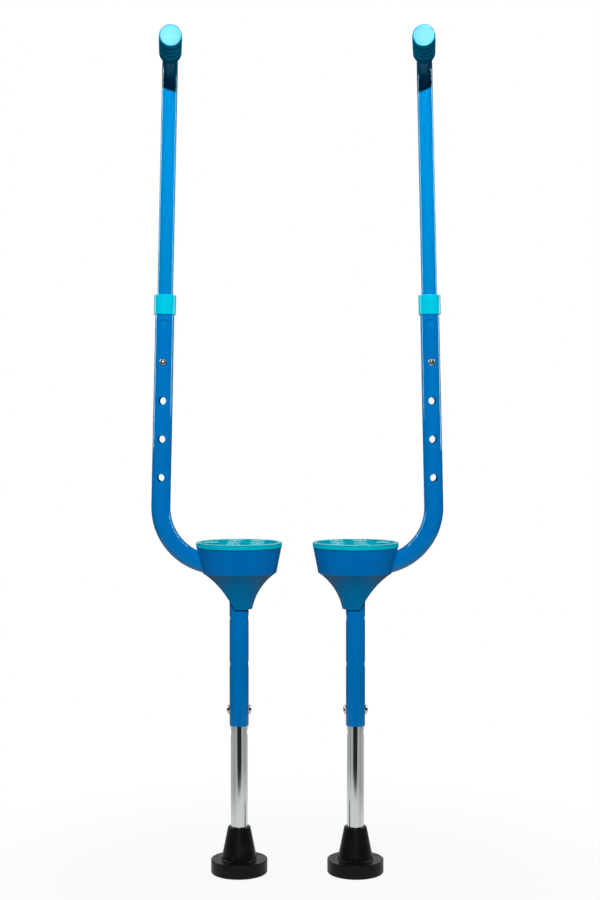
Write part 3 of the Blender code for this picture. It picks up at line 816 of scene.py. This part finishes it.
@dataclass
class Stilt:
    """One stilt: where its frames stand, and the pieces that are fixed to its main tube."""

    side: Side
    tube_radius: float = 0.0125
    tube_wall: float = 0.0012
    sleeve_bottom: float = 0.1928
    lower_bend_start: float = 0.3500
    lower_bend_radius: float = 0.056
    upper_bend_radius: float = 0.0755
    bend: float = math.radians(77)
    lean: float = math.radians(1.3)
    upright_length: float = 0.2702
    handle_hole_radius: float = 0.0048
    handle_hole_first: float = 0.0367
    handle_hole_pitch: float = 0.050
    handle_hole_count: int = 5
    handle_hole_used: int = 3
    leg_hole_radius: float = 0.0039
    leg_hole_first: float = 0.2133
    leg_hole_pitch: float = 0.060
    leg_hole_count: int = 3
    collar_radius: float = 0.0145
    collar_height: float = 0.0255
    collar_lip: float = 0.0040
    collar_throat: float = 0.0106
    collar_roundings: tuple[float, ...] = (0.0004, 0.0011, 0.0003, 0.0003, 0.0002, 0.0002)
    gap: float = 0.0003

    def __post_init__(self) -> None:
        """Place the stilt's frame where its foot stands."""
        low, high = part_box(f"{self.side.prefix}_foot")
        middle = (low + high) / 2
        self.frame = moved(middle.x, middle.y)

    def named(self, piece: str) -> str:
        """A node's name on this side."""
        return f"{self.side.prefix}_{piece}"

    def piece(self, name: str, node: str, sheet: Sheet, finish: Finish, body: str, **shape: float) -> Piece:
        """A piece of this side, from plain names. The shape is its wall and its smooth angle."""
        return Piece(self.named(name), sheet, finish, self.named(body), self.named(node), **shape)

    def line(self) -> Line:
        """Centre line of the main tube: sleeve, bend outwards, bend back, upright."""
        out = float(self.side.value)
        back = self.bend + self.lean
        runs = [
            Run(self.lower_bend_start - self.sleeve_bottom),
            Run(self.lower_bend_radius * self.bend, self.bend, (0.0, out, 0.0)),
            Run(self.upper_bend_radius * back, back, (0.0, -out, 0.0)),
            Run(self.upright_length),
        ]
        return Line((0, 0, self.sleeve_bottom), runs)

    def upright(self, distance: float) -> np.ndarray:
        """Frame on the upright's axis, turned with its lean.

        Args:
            distance: How far along the upright from the bend.

        Returns:
            A 4 by 4 matrix in the object's frame.
        """
        line = self.line()
        begin = line.length - self.upright_length
        point = line.frames(np.array([begin + distance]))[0][0]
        return self.frame @ moved(*point) @ turned("y", -self.side.value * self.lean)

    def handle_hole(self, index: int) -> float:
        """Distance of a hole pair along the upright, counted from the lowest."""
        return self.handle_hole_first + index * self.handle_hole_pitch

    def main_tube(self) -> Piece:
        """The bent tube with its two rows of drilled holes."""
        line = self.line()
        begin = line.length - self.upright_length
        holes = [
            Hole(begin + self.handle_hole(index), turn, self.handle_hole_radius)
            for index in range(self.handle_hole_count)
            for turn in (QUARTER_TURN, 3 * QUARTER_TURN)
        ]
        lowest = self.leg_hole_first - self.sleeve_bottom
        holes += [
            Hole(lowest + index * self.leg_hole_pitch, turn, self.leg_hole_radius)
            for index in range(self.leg_hole_count)
            for turn in (0.0, math.pi)
        ]
        sheet = DrilledTube(line, self.tube_radius, holes).sheet().placed(self.frame)
        return self.piece("tube", "main_tube", sheet, TUBE_ENAMEL, "stilt", wall=self.tube_wall)

    def collar(self) -> Piece:
        """Ring over the upright's end, with a rounded upper edge and a lip round the handle tube."""
        top, bore, throat = self.collar_lip, self.tube_radius + self.gap, self.collar_throat
        bottom, outer = top - self.collar_height, self.collar_radius
        points = [
            (throat, top), (outer, top), (outer, bottom),
            (bore, bottom), (bore, self.gap), (throat, self.gap),
        ]
        outline = rounded(np.column_stack([points, self.collar_roundings]))
        sheet = spun(np.vstack([outline, outline[:1]]), sides=64).placed(self.upright(self.upright_length))
        return self.piece("collar", "tube_collar", sheet, COLLAR_PLASTIC, "stilt")

    def dress(self) -> None:
        """Make every piece that is fixed to the main tube."""
        for piece in (self.main_tube(), self.collar(), *Step(self).pieces()):
            piece.make()


@dataclass
class Step:
    """The step of a stilt: slotted cup, tread and the screw behind."""

    stilt: Stilt
    mouth_radius: float = 0.0553
    mouth_z: float = 0.4255
    crease_radius: float = 0.0488
    crease_z: float = 0.3928
    spout_radius: float = 0.0173
    spout_z: float = 0.3455
    wall: float = 0.0019
    funnel_bow: float = math.radians(45)
    crease_rounding: float = 0.0008
    crease_share: float = 0.08
    band_step: float = 0.0006
    slot_half_width: float = 0.0166
    slot_arch_z: float = 0.4062
    sharp: float = 30.0
    tread_radius: float = 0.0560
    tread_underside: float = 0.4258
    tread_top: float = 0.4325
    tread_lip: float = 0.0035
    tread_recess: float = 0.0018
    tread_roundings: tuple[float, ...] = (
        0, 0.0005, 0.0005, 0.0010, 0.0006, 0.0002, 0.0003, 0.0003, 0.0003, 0,
    )
    skirt_radius: float = 0.0514
    skirt_wall: float = 0.0020
    skirt_depth: float = 0.0035
    stud_columns: tuple[tuple[float, int], ...] = ((0.0360, 1), (0.0065, 3), (-0.0240, 3))
    stud_pitch: float = 0.0300
    stud_points: int = 6
    stud_facets: int = 24
    stud_reach: float = 0.0105
    stud_waist: float = 0.0050
    stud_bevel: float = 0.0007
    stud_bevel_middle: float = 0.3
    stud_draft: float = math.radians(15)
    screw_z: float = 0.3535
    screw_seat: float = 0.0189
    screw_tip: float = 0.0070
    screw_radius: float = 0.0020
    screw_head_radius: float = 0.0040
    screw_head_height: float = 0.0024
    screw_head_edge: float = 0.0009
    screw_crown_share: float = 0.72
    screw_roundings: tuple[float, ...] = (0, 0.0004, 0.0002, 0.0003, 0.0006, 0.0016, 0)
    screw_step: float = 0.00012
    cross_half_width: float = 0.00055
    cross_reach: float = 0.0022
    cross_depth: float = 0.0011
    cross_slopes: Pair = (0.0002, 0.0003)
    cross_floor: float = 0.0010

    def cup_outline(self) -> np.ndarray:
        """Cup's outer side from the spout up: one hollow arc to the crease, then a conical band."""
        low = np.array([self.spout_radius, self.spout_z])
        high = np.array([self.crease_radius, self.crease_z])
        chord = high - low
        radius = np.linalg.norm(chord) / (2 * math.sin(self.funnel_bow / 2))
        outside = np.array([chord[1], -chord[0]]) / np.linalg.norm(chord)
        centre = (low + high) / 2 + outside * radius * math.cos(self.funnel_bow / 2)
        first = math.atan2(low[1] - centre[1], low[0] - centre[0])
        turn = first - np.linspace(0, self.funnel_bow, num=60)
        funnel = centre + radius * np.stack([np.cos(turn), np.sin(turn)], axis=1)
        mouth = np.array([self.mouth_radius, self.mouth_z])
        corner = np.vstack([funnel[-3], high, high + self.crease_share * (mouth - high)])
        crease = rounded(np.column_stack([corner, [0, self.crease_rounding, 0]]), closed=False)
        upper = refined(np.vstack([crease[-1:], mouth]), self.band_step)
        return np.vstack([funnel[:-3], crease[len(crease) // 3 : 2 * len(crease) // 3], upper])

    def cup(self) -> Piece:
        """The cup as one surface, slotted on its outer side.

        A point at height z and share u is r(z) (cos(a), sin(a)), where a runs from h(z) to a full turn less
        h(z), counted from the outer side. The slot's half angle h is asin(w / r), and its half width w is
        constant up to the arch's centre and then that of a half circle.

        Returns:
            The cup, whose slot is closed above the arch.
        """
        outline = self.cup_outline()
        radius, height = outline[:, :1], outline[:, 1:]
        rise = np.clip((height - self.slot_arch_z) / self.slot_half_width, 0, 1)
        half = np.arcsin(np.clip(self.slot_half_width * np.sqrt(1 - rise**2) / radius, 0, 1))
        share = np.linspace(0, 1, num=161)
        angle = half + share * (FULL_TURN - 2 * half)
        angle = angle + (0 if self.stilt.side is Side.RIGHT else math.pi)
        points = np.stack([radius * np.cos(angle), radius * np.sin(angle), height + 0 * angle], axis=2)
        sheet = Sheet(points.reshape(-1, 3), grid_faces(len(outline), share.size, False))
        sheet, shape = sheet.placed(self.stilt.frame), {"wall": self.wall, "smooth": self.sharp}
        return self.stilt.piece("cup", "step_cup", sheet, CUP_PLASTIC, "stilt", **shape)

    def stud(self, x: float, y: float) -> Sheet:
        """One star-shaped stud of the tread.

        Between a point at radius a and a waist at radius b, an angle e on, the rim's radius at the angle t is
        that of a straight line: a b sin(e) / (a sin(t) + b sin(e - t)). Rings of shares of it make the flat
        top, the bevelled edge, the side and the bottom inside the plate.

        Args:
            x: Place of its centre.
            y: Place of its centre.

        Returns:
            A closed surface with one point to the front.
        """
        count = self.stud_facets * self.stud_points
        angle = np.arange(count) * FULL_TURN / count
        step, reach, waist = math.pi / self.stud_points, self.stud_reach, self.stud_waist
        away = step - np.abs(angle % (2 * step) - step)
        rim = reach * waist * math.sin(step) / (reach * np.sin(away) + waist * np.sin(step - away))
        bevel, top = self.stud_bevel, self.tread_top
        middle, bottom = self.stud_bevel_middle * bevel, top - self.tread_recess - bevel
        foot = (self.tread_recess + bevel) * math.tan(self.stud_draft)
        rings = [
            (0, 0, top), (0.5, 0, top), (1, -bevel, top), (1, -middle, top - middle), (1, 0, top - bevel),
            (1, foot, bottom), (0, 0, bottom),
        ]
        share, inset, height = (np.array(column)[:, None] for column in zip(*rings))
        radius = share * rim + inset
        across, ahead = radius * np.sin(angle), -radius * np.cos(angle)
        points = np.stack([x + across, y + ahead, height + 0 * angle], axis=2)
        return Sheet(points.reshape(-1, 3), grid_faces(len(rings), len(angle), True))

    def tread(self) -> Piece:
        """Round plate with a lip, a recess with star studs, and a skirt that drops into the cup."""
        top, under, edge = self.tread_top, self.tread_underside, self.tread_radius
        floor, inside = top - self.tread_recess, edge - self.tread_lip
        skirt, skirt_end = self.skirt_radius, under - self.skirt_depth
        skirt_in = skirt - self.skirt_wall
        points = [
            (0, floor), (inside - self.tread_recess, floor), (inside, top), (edge, top), (edge, under),
            (skirt, under), (skirt, skirt_end), (skirt_in, skirt_end), (skirt_in, under), (0, under),
        ]
        outline = rounded(np.column_stack([points, self.tread_roundings]), steps=4, closed=False)
        sheet = spun(outline, sides=144)
        for outwards, count in self.stud_columns:
            for index in range(count):
                spot = (self.stilt.side.value * outwards, self.stud_pitch * (index - (count - 1) / 2))
                sheet = sheet.joined(self.stud(*spot))
        sheet = sheet.placed(self.stilt.frame)
        return self.stilt.piece("tread", "step_tread", sheet, TREAD_PLASTIC, "stilt", smooth=self.sharp)

    def screw(self) -> Piece:
        """Pan-head screw with a cross recess, its axis along +Y.

        The head's height over the seat falls by the recess where a point lies near either arm of the cross.

        Returns:
            The screw, from the back of the spout into the tube.
        """
        seat, head, top = self.screw_seat, self.screw_head_radius, self.screw_seat + self.screw_head_height
        tip, shank = self.screw_tip, self.screw_radius
        points = [
            (0, tip), (shank, tip + shank), (shank, seat), (head, seat), (head, seat + self.screw_head_edge),
            (head * self.screw_crown_share, top), (0, top),
        ]
        outline = rounded(np.column_stack([points, self.screw_roundings]), closed=False)
        sheet = spun(refined(outline, self.screw_step), sides=96)
        x, y, z = sheet.points.T
        arm, reach = np.minimum(np.abs(x), np.abs(y)), np.hypot(x, y)
        beside, outside = self.cross_slopes
        recess = np.clip((self.cross_half_width - arm) / beside, 0, 1)
        recess = recess * np.clip((self.cross_reach - reach) / outside, 0, 1)
        sheet.points[:, 2] = np.where(z > seat + self.cross_floor, z - self.cross_depth * recess, z)
        matrix = self.stilt.frame @ moved(0, 0, self.screw_z) @ turned("x", -QUARTER_TURN)
        return self.stilt.piece("screw", "step_screw", sheet.placed(matrix), ZINC_STEEL, "stilt")

    def pieces(self) -> list[Piece]:
        """Cup, tread and screw."""
        return [self.cup(), self.tread(), self.screw()]


@dataclass
class Handle:
    """The sliding handle of a stilt: tube, grip, buttons and the spring inside."""

    stilt: Stilt
    tube_radius: float = 0.0103
    tail: float = 0.032
    rise: float = 0.3538
    bend_radius: float = 0.038
    reach: float = 0.124
    turn_in: float = math.radians(5)
    grip_radius: float = 0.0143
    grip_start: float = 0.040
    grip_length: float = 0.089
    grip_end_wall: float = 0.0045
    grip_rounding: float = 0.0008
    grip_dome: float = 0.0006
    grip_taper: float = 0.0009
    grip_taper_length: float = 0.0100
    grip_taper_power: float = 1.5
    grip_step: float = 0.0005
    mouth_roundings: Pair = (0.0006, 0.0011)
    groove_count: int = 4
    groove_depth: float = 0.0020
    groove_width: float = 0.0060
    flange_lip: float = 0.0008

    def __post_init__(self) -> None:
        """Place the handle's frame on the upright's axis, at its buttons."""
        self.frame = self.stilt.upright(self.stilt.handle_hole(self.stilt.handle_hole_used))
        self.inwards = turned("z", -self.stilt.side.value * self.turn_in)

    def tube(self) -> Piece:
        """Tube that rises and bends forward, drilled for its buttons."""
        runs = [
            Run(self.tail + self.rise),
            Run(self.bend_radius * QUARTER_TURN, QUARTER_TURN, tuple(self.inwards[:3, 0])),
            Run(self.reach - self.bend_radius),
        ]
        turns = (QUARTER_TURN, 3 * QUARTER_TURN)
        holes = [Hole(self.tail, turn, self.stilt.handle_hole_radius) for turn in turns]
        tube = DrilledTube(Line((0, 0, -self.tail), runs), self.tube_radius, holes)
        sheet, wall = tube.sheet().placed(self.frame), self.stilt.tube_wall
        # The riser takes the lighter copy of the enamel, which is painted light.
        return self.stilt.piece("riser", "handle_tube", sheet, LIT_RISER_ENAMEL, "handle", wall=wall)

    def grip(self) -> Piece:
        """Ribbed grip with a closed end.

        The radius falls into each groove by half the depth times 1 + cos of the distance from its middle, and
        towards the end by the taper times a power of the share of the way.

        Returns:
            The grip, along the handle's forward run.
        """
        bore, floor = self.tube_radius + self.stilt.gap, self.grip_length - self.grip_end_wall
        shoulder, radius, edge = self.grip_length - self.grip_dome, self.grip_radius, self.grip_rounding
        flank = refined(np.array([[radius, edge], [radius, shoulder - edge]]), self.grip_step)
        rib = (shoulder - self.groove_count * self.groove_width) / (self.groove_count + 1)
        middles = rib + self.groove_width / 2 + np.arange(self.groove_count) * (rib + self.groove_width)
        away = np.abs(flank[:, 1:] - middles).min(axis=1) / (self.groove_width / 2)
        flank[:, 0] -= self.groove_depth * (1 + np.cos(math.pi * np.minimum(away, 1))) / 2
        way = np.clip(1 - (shoulder - flank[:, 1]) / self.grip_taper_length, 0, 1)
        flank[:, 0] -= self.grip_taper * way**self.grip_taper_power
        rim = quarter(steps=8) * edge + (radius - self.grip_taper - edge, shoulder - edge)
        share = np.linspace(1, 0, num=14)[1:]
        dome = np.stack([rim[-1, 0] * share, shoulder + self.grip_dome * (1 - share**2)], axis=1)
        inner, outer = self.mouth_roundings
        corners = [(bore, floor, 0), (bore, 0, inner), (radius, 0, outer), (radius, floor, 0)]
        mouth = rounded(corners, closed=False)
        inside = np.vstack([[0, floor], mouth[len(mouth) // 4 - 1 : 3 * len(mouth) // 4]])
        sheet = spun(np.vstack([inside, flank[2:-1], rim, dome]), sides=72)
        matrix = self.frame @ self.inwards @ moved(0, -self.grip_start, self.rise + self.bend_radius)
        sheet = sheet.placed(matrix @ turned("x", QUARTER_TURN))
        return self.stilt.piece("grip", "handle_grip", sheet, GRIP_PLASTIC, "handle")

    def buttons(self) -> list[Piece]:
        """The button at the front and its twin at the back."""
        bore = self.tube_radius - self.stilt.tube_wall - self.stilt.gap
        hole, lip = self.stilt.handle_hole_radius, self.flange_lip
        seat = math.sqrt(bore**2 - (hole + lip) ** 2)
        sheet = SpringButton(hole, seat, lip, self.stilt.tube_radius).sheet()
        found = []
        for end, turn in (("front", QUARTER_TURN), ("back", -QUARTER_TURN)):
            node, placed = f"handle_button_{end}", sheet.placed(self.frame @ turned("x", turn))
            found.append(self.stilt.piece(f"upper_button_{end}", node, placed, BUTTON_CHROME, node))
        return found

    def dress(self) -> None:
        """Make the handle's pieces, and finish the spring that stays a solid."""
        for piece in (self.tube(), self.grip(), *self.buttons()):
            piece.make()
        refinish(self.stilt.named("handle_clip"), ZINC_STEEL)


@dataclass
class Leg:
    """The sliding leg of a stilt: tube, bolt and nut, rubber foot and the washer inside."""

    stilt: Stilt
    tube_radius: float = 0.0110
    top: float = 0.2270
    bottom: float = 0.0139
    spare_drop: float = 0.030
    base_radius: float = 0.0368
    base_height: float = 0.0180
    edge_rounding: float = 0.0020
    cone_foot_radius: float = 0.0231
    cone_top_radius: float = 0.0146
    foot_top: float = 0.0604
    foot_step: float = 0.0007
    foot_smooth: float = 50.0
    fillet: float = 0.0025
    lip_rounding: float = 0.0014
    socket_rounding: float = 0.0008
    socket_floor: float = 0.0115
    groove_depth: float = 0.0020
    groove_width: float = 0.0030
    groove_radii: Pair = (0.0290, 0.0180)
    groove_roundings: Pair = (0.0004, 0.0003)
    arch_radius: float = 0.0050
    arch_blend: float = 0.0003
    arch_depth: float = 0.0200
    arch_margin: float = 0.001
    arch_limit: float = 0.8
    level_slack: float = 1e-5
    bolt_head_radius: float = 0.0063
    bolt_head_height: float = 0.0032
    bolt_head_edge: float = 0.0006
    bolt_shank_radius: float = 0.0022
    bolt_tip: float = -0.0040
    nut_bore_end: float = 0.0045

    def __post_init__(self) -> None:
        """Place the leg's frame at its bolt."""
        self.frame = self.stilt.frame @ moved(0, 0, self.stilt.leg_hole_first)

    def tube(self) -> Piece:
        """Straight tube, drilled for its bolt and, below the sleeve, with a spare pair of holes."""
        first = self.stilt.leg_hole_first - self.bottom
        holes = [
            Hole(along, turn, self.stilt.leg_hole_radius)
            for along in (first, first - self.spare_drop)
            for turn in (0.0, math.pi)
        ]
        line = Line((0, 0, self.bottom), [Run(self.top - self.bottom)])
        sheet = DrilledTube(line, self.tube_radius, holes).sheet().placed(self.stilt.frame)
        return self.stilt.piece("leg_pipe", "leg_tube", sheet, TUBE_CHROME, "leg", wall=self.stilt.tube_wall)

    def foot(self) -> Piece:
        """Rubber tip: socket, rounded lip, cone, hollow fillet, round base and a grooved sole.

        The outline is carried round the axis. At the front and the back, the cone's foot is pressed in to a
        flat face inside a half-round arch.

        Returns:
            The foot as one closed surface.
        """
        socket, base, level = self.tube_radius + self.stilt.gap, self.base_radius, self.base_height
        corners = [
            (0, self.socket_floor, 0), (socket, self.socket_floor, 0),
            (socket, self.foot_top, self.socket_rounding),
            (self.cone_top_radius, self.foot_top, self.lip_rounding),
            (self.cone_foot_radius, level, self.fillet),
            (base, level, self.edge_rounding / 2), (base, 0, self.edge_rounding),
        ]
        edge, root = self.groove_roundings
        for radius in self.groove_radii:
            outer, inner = radius + self.groove_width / 2, radius - self.groove_width / 2
            deep = self.groove_depth
            corners += [(outer, 0, edge), (outer, deep, root), (inner, deep, root), (inner, 0, edge)]
        corners.append((0, 0, 0))
        sheet = spun(refined(rounded(corners, steps=6, closed=False), self.foot_step), sides=216)
        x, y, z = sheet.points.T
        radius, over = np.hypot(x, y), np.hypot(x, z - level)
        inside = np.clip((self.arch_radius + self.arch_blend - over) / (2 * self.arch_blend), 0, 1)
        cone = (radius > self.arch_depth - self.arch_margin) & (radius < base * self.arch_limit)
        inside = inside * (cone & (z > level - self.level_slack))
        depth = np.minimum(np.abs(y), self.arch_depth)
        sheet.points[:, 1] = np.sign(y) * (np.abs(y) * (1 - inside) + depth * inside)
        sheet = sheet.placed(self.stilt.frame)
        return self.stilt.piece("rubber_foot", "foot", sheet, FOOT_RUBBER, "leg", smooth=self.foot_smooth)

    def bolt(self) -> list[Piece]:
        """The bolt from the inner side and the sleeve nut from the outer side, both on the bolt's axis.

        Both heads are low domes: a short upright edge, then a quarter ellipse up to the axis.

        Returns:
            The bolt and the nut.
        """
        gap, far, shank = self.stilt.gap, self.stilt.tube_radius, self.bolt_shank_radius
        sleeve, bore, seat = self.stilt.leg_hole_radius - gap, shank + gap, far + gap
        crown, rise = seat + self.bolt_head_edge, self.bolt_head_height - self.bolt_head_edge
        dome = quarter(steps=14) * (self.bolt_head_radius, rise) + (0, crown)
        head = np.vstack([[self.bolt_head_radius, seat], dome])
        tip, end = self.bolt_tip, self.nut_bore_end
        stem = [(0, tip), (shank, tip), (shank, seat)]
        barrel = [(0, end), (bore, end), (bore, -far), (sleeve, -far), (sleeve, seat)]
        found = []
        for piece, start, way in (("leg_bolt", stem, -1), ("leg_nut", barrel, 1)):
            matrix = self.frame @ turned("y", way * self.stilt.side.value * QUARTER_TURN)
            sheet = spun(np.vstack([start, head]), sides=48).placed(matrix)
            found.append(self.stilt.piece(f"{piece}_dome", piece, sheet, BOLT_CHROME, "leg"))
        return found

    def dress(self) -> None:
        """Make the leg's pieces, and finish the washer that stays a solid."""
        for piece in (self.tube(), self.foot(), *self.bolt()):
            piece.make()
        refinish(self.stilt.named("foot_washer"), ZINC_STEEL)


def refinish(node: str, finish: Finish) -> None:
    """Give a solid that is shown as it is a finish of the scene."""
    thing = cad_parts[node]
    thing.data.materials.clear()
    thing.data.materials.append(finish.material())
    LOG.info("%s: solid with %s", node, finish.name)


@dataclass(frozen=True)
class Lamp:
    """A rectangular lamp, aimed at a point. It can be kept out of matt light or out of reflections."""

    name: str
    spot: Triple
    aim: Triple
    size: Pair
    power: float
    spread: float = math.pi
    lights: bool = True
    mirrors: bool = True

    def hang(self) -> None:
        """Put the lamp into the scene."""
        data = bpy.data.lights.new(self.name, "AREA")
        data.shape = "RECTANGLE"
        data.size, data.size_y = self.size
        data.energy, data.spread = self.power, self.spread
        thing = bpy.data.objects.new(self.name, data)
        thing.location = self.spot
        thing.rotation_euler = (Vector(self.aim) - Vector(self.spot)).to_track_quat("-Z", "Y").to_euler()
        thing.visible_diffuse, thing.visible_glossy = self.lights, self.mirrors
        bpy.context.scene.collection.objects.link(thing)


@dataclass
class Studio:
    """Floor, backdrop, lamps and camera. A pair is the two ends of a range, or a width and a height."""

    camera_spot: Triple = (0.0035, -1.934, 0.5868)
    camera_pitch: float = math.radians(-1.0)
    lens: float = 60.5
    sensor: float = 36.0
    clip: Pair = (0.05, 50.0)
    key_spot: Triple = (0.01, -2.60, 1.650)
    key_size: Pair = (0.02, 0.02)
    key_aim: Triple = (0.0, 0.03, 0.88)
    centre_aim: Triple = (0.0, 0.03, 1.05)
    top_spot: Triple = (0.0, 0.10, 2.30)
    top_aim: Triple = (0.0, 0.0, 0.50)
    top_size: Pair = (0.7, 0.7)
    strip_spot: Triple = (1.54, 0.72, 1.40)
    strip_aim: Triple = (0.0, 0.0, 0.75)
    strip_size: Pair = (0.3, 1.8)
    back_spot: Triple = (1.65, 1.95, 0.90)
    back_aim: Triple = (0.0, 0.0, 0.65)
    back_size: Pair = (1.2, 1.2)
    ambient: float = 0.003
    mirrored: float = 0.03
    panel_tone: float = 1.0
    panel_back: Pair = (0.80, 0.92)
    panel_low: Pair = (0.0, 0.05)
    panel_high: Pair = (0.40, 0.55)
    floor_half: float = 4.0
    floor_drop: float = 0.0002
    paper: Pair = (0.48, 0.52)
    near_tone: float = 0.71
    ring_fall: float = 0.26
    ring: Pair = (0.30, 0.58)
    far_fall: float = 0.93
    far: Pair = (0.95, 1.30)
    dark_fall: float = 0.43
    dark_slope: float = 0.50
    dark_start: float = 0.17
    dark_edge: Pair = (-0.03, 0.03)
    dark_end: Pair = (-0.46, -0.34)
    streak_fall: float = 0.10
    streak_front: Pair = (-0.62, -0.32)
    streak_back: Pair = (-0.22, 0.10)
    shadow_share: float = 0.06
    shadow: Pair = (0.22, 0.60)

    def lamps(self) -> list[Lamp]:
        """A small key above the camera, strips and an overhead for reflections, and light from behind."""
        spot, size = self.key_spot, self.key_size
        found = [
            Lamp("key", spot, self.key_aim, size, power=9.4, spread=math.radians(72)),
            Lamp("key_centre", spot, self.centre_aim, size, power=0.28, spread=math.radians(16)),
            Lamp("top_soft", self.top_spot, self.top_aim, self.top_size, power=7.0, lights=False),
        ]
        for side in Side:
            out, name = side.value, side.prefix
            strip, back = ((out * x, y, z) for x, y, z in (self.strip_spot, self.back_spot))
            found += [
                Lamp(f"{name}_strip", strip, self.strip_aim, self.strip_size, power=16.0, lights=False),
                Lamp(f"{name}_back", back, self.back_aim, self.back_size, power=20.0, mirrors=False),
            ]
        return found

    def camera(self) -> None:
        """Camera at the photograph's angle, a little below level."""
        data = bpy.data.cameras.new("camera")
        data.lens, data.sensor_width = self.lens, self.sensor
        data.clip_start, data.clip_end = self.clip
        thing = bpy.data.objects.new("camera", data)
        thing.location = self.camera_spot
        thing.rotation_euler = (QUARTER_TURN + self.camera_pitch, 0, 0)
        bpy.context.scene.collection.objects.link(thing)
        bpy.context.scene.camera = thing

    def world(self) -> None:
        """White to the camera. Reflections see a pale panel low behind the object, and dim walls."""
        world = bpy.data.worlds.new("studio")
        bpy.context.scene.world = world
        world.use_nodes = True
        nodes = Nodes(world.node_tree)
        way = nodes.add("ShaderNodeTexCoord", output="Generated")
        back, rise = nodes.part(1, way).within(*self.panel_back), nodes.part(2, way)
        panel = back * rise.within(*self.panel_low) * (1 - rise.within(*self.panel_high))
        mirrored = nodes.ray("Glossy").larger(nodes.ray("Transmission"))
        tone = mirrored * (self.mirrored + self.panel_tone * panel)
        tone = nodes.ray("Camera").larger(tone).larger(self.ambient)
        back = nodes.add("ShaderNodeBackground", None, {"Color": nodes.grey(tone)})
        nodes.add("ShaderNodeOutputWorld", None, {"Surface": back})

    def floor(self) -> None:
        """Pale floor that keeps a faint shadow near the feet and is plain white to the camera farther off.

        Reflections see it pale near the feet, with a dark wedge and a soft streak in front, and dark far off.
        """
        half = self.floor_half
        mesh = bpy.data.meshes.new("floor")
        corners = np.array([[-half, -half, 0], [half, -half, 0], [half, half, 0], [-half, half, 0]])
        mesh.from_pydata((corners - (0, 0, self.floor_drop)).tolist(), [], [(0, 1, 2, 3)])
        thing = bpy.data.objects.new("floor", mesh)
        bpy.context.scene.collection.objects.link(thing)
        material = bpy.data.materials.new("floor_paper")
        material.use_nodes = True
        nodes = Nodes(material.node_tree)
        paper = nodes.mixed(nodes.noise(cells=30, detail=3), *(solid((tone,) * 3) for tone in self.paper))
        matt = nodes.add("ShaderNodeBsdfDiffuse", None, {"Color": paper})
        aside, ahead = nodes.part(0), nodes.part(1)
        away = nodes.add("ShaderNodeVectorMath", {"operation": "LENGTH"}, {0: nodes.place()}, "Value")
        front = ahead * away**-1
        streak = front.within(*self.streak_front) * (1 - front.within(*self.streak_back))
        wedge = 1 - (aside * aside + self.dark_slope * ahead + self.dark_start).within(*self.dark_edge)
        dark = wedge * (1 - ahead.within(*self.dark_end))
        tone = self.near_tone - self.ring_fall * away.within(*self.ring)
        tone = tone - self.dark_fall * dark - self.streak_fall * streak
        tone = tone * (1 - self.far_fall * away.within(*self.far))
        seen = nodes.ray("Camera")
        white = nodes.add("ShaderNodeEmission", None, {"Color": nodes.grey(seen.larger(tone))})
        share = seen * (1 - self.shadow_share + self.shadow_share * away.within(*self.shadow))
        share = share.larger(nodes.ray("Glossy")).larger(nodes.ray("Transmission"))
        nodes.surface(nodes.add("ShaderNodeMixShader", None, {0: share, 1: matt, 2: white}))
        mesh.materials.append(material)

    def set_up(self) -> None:
        """Everything round the object."""
        self.camera()
        for lamp in self.lamps():
            lamp.hang()
        self.world()
        self.floor()
        bpy.context.scene.view_settings.view_transform = "Standard"


def main() -> None:
    """Set up the studio and dress both stilts."""
    logging.basicConfig(level=logging.INFO, format="%(name)s: %(message)s")
    Studio().set_up()
    for side in Side:
        stilt = Stilt(side)
        stilt.dress()
        Handle(stilt).dress()
        Leg(stilt).dress()


if __name__ == "__main__":
    main()
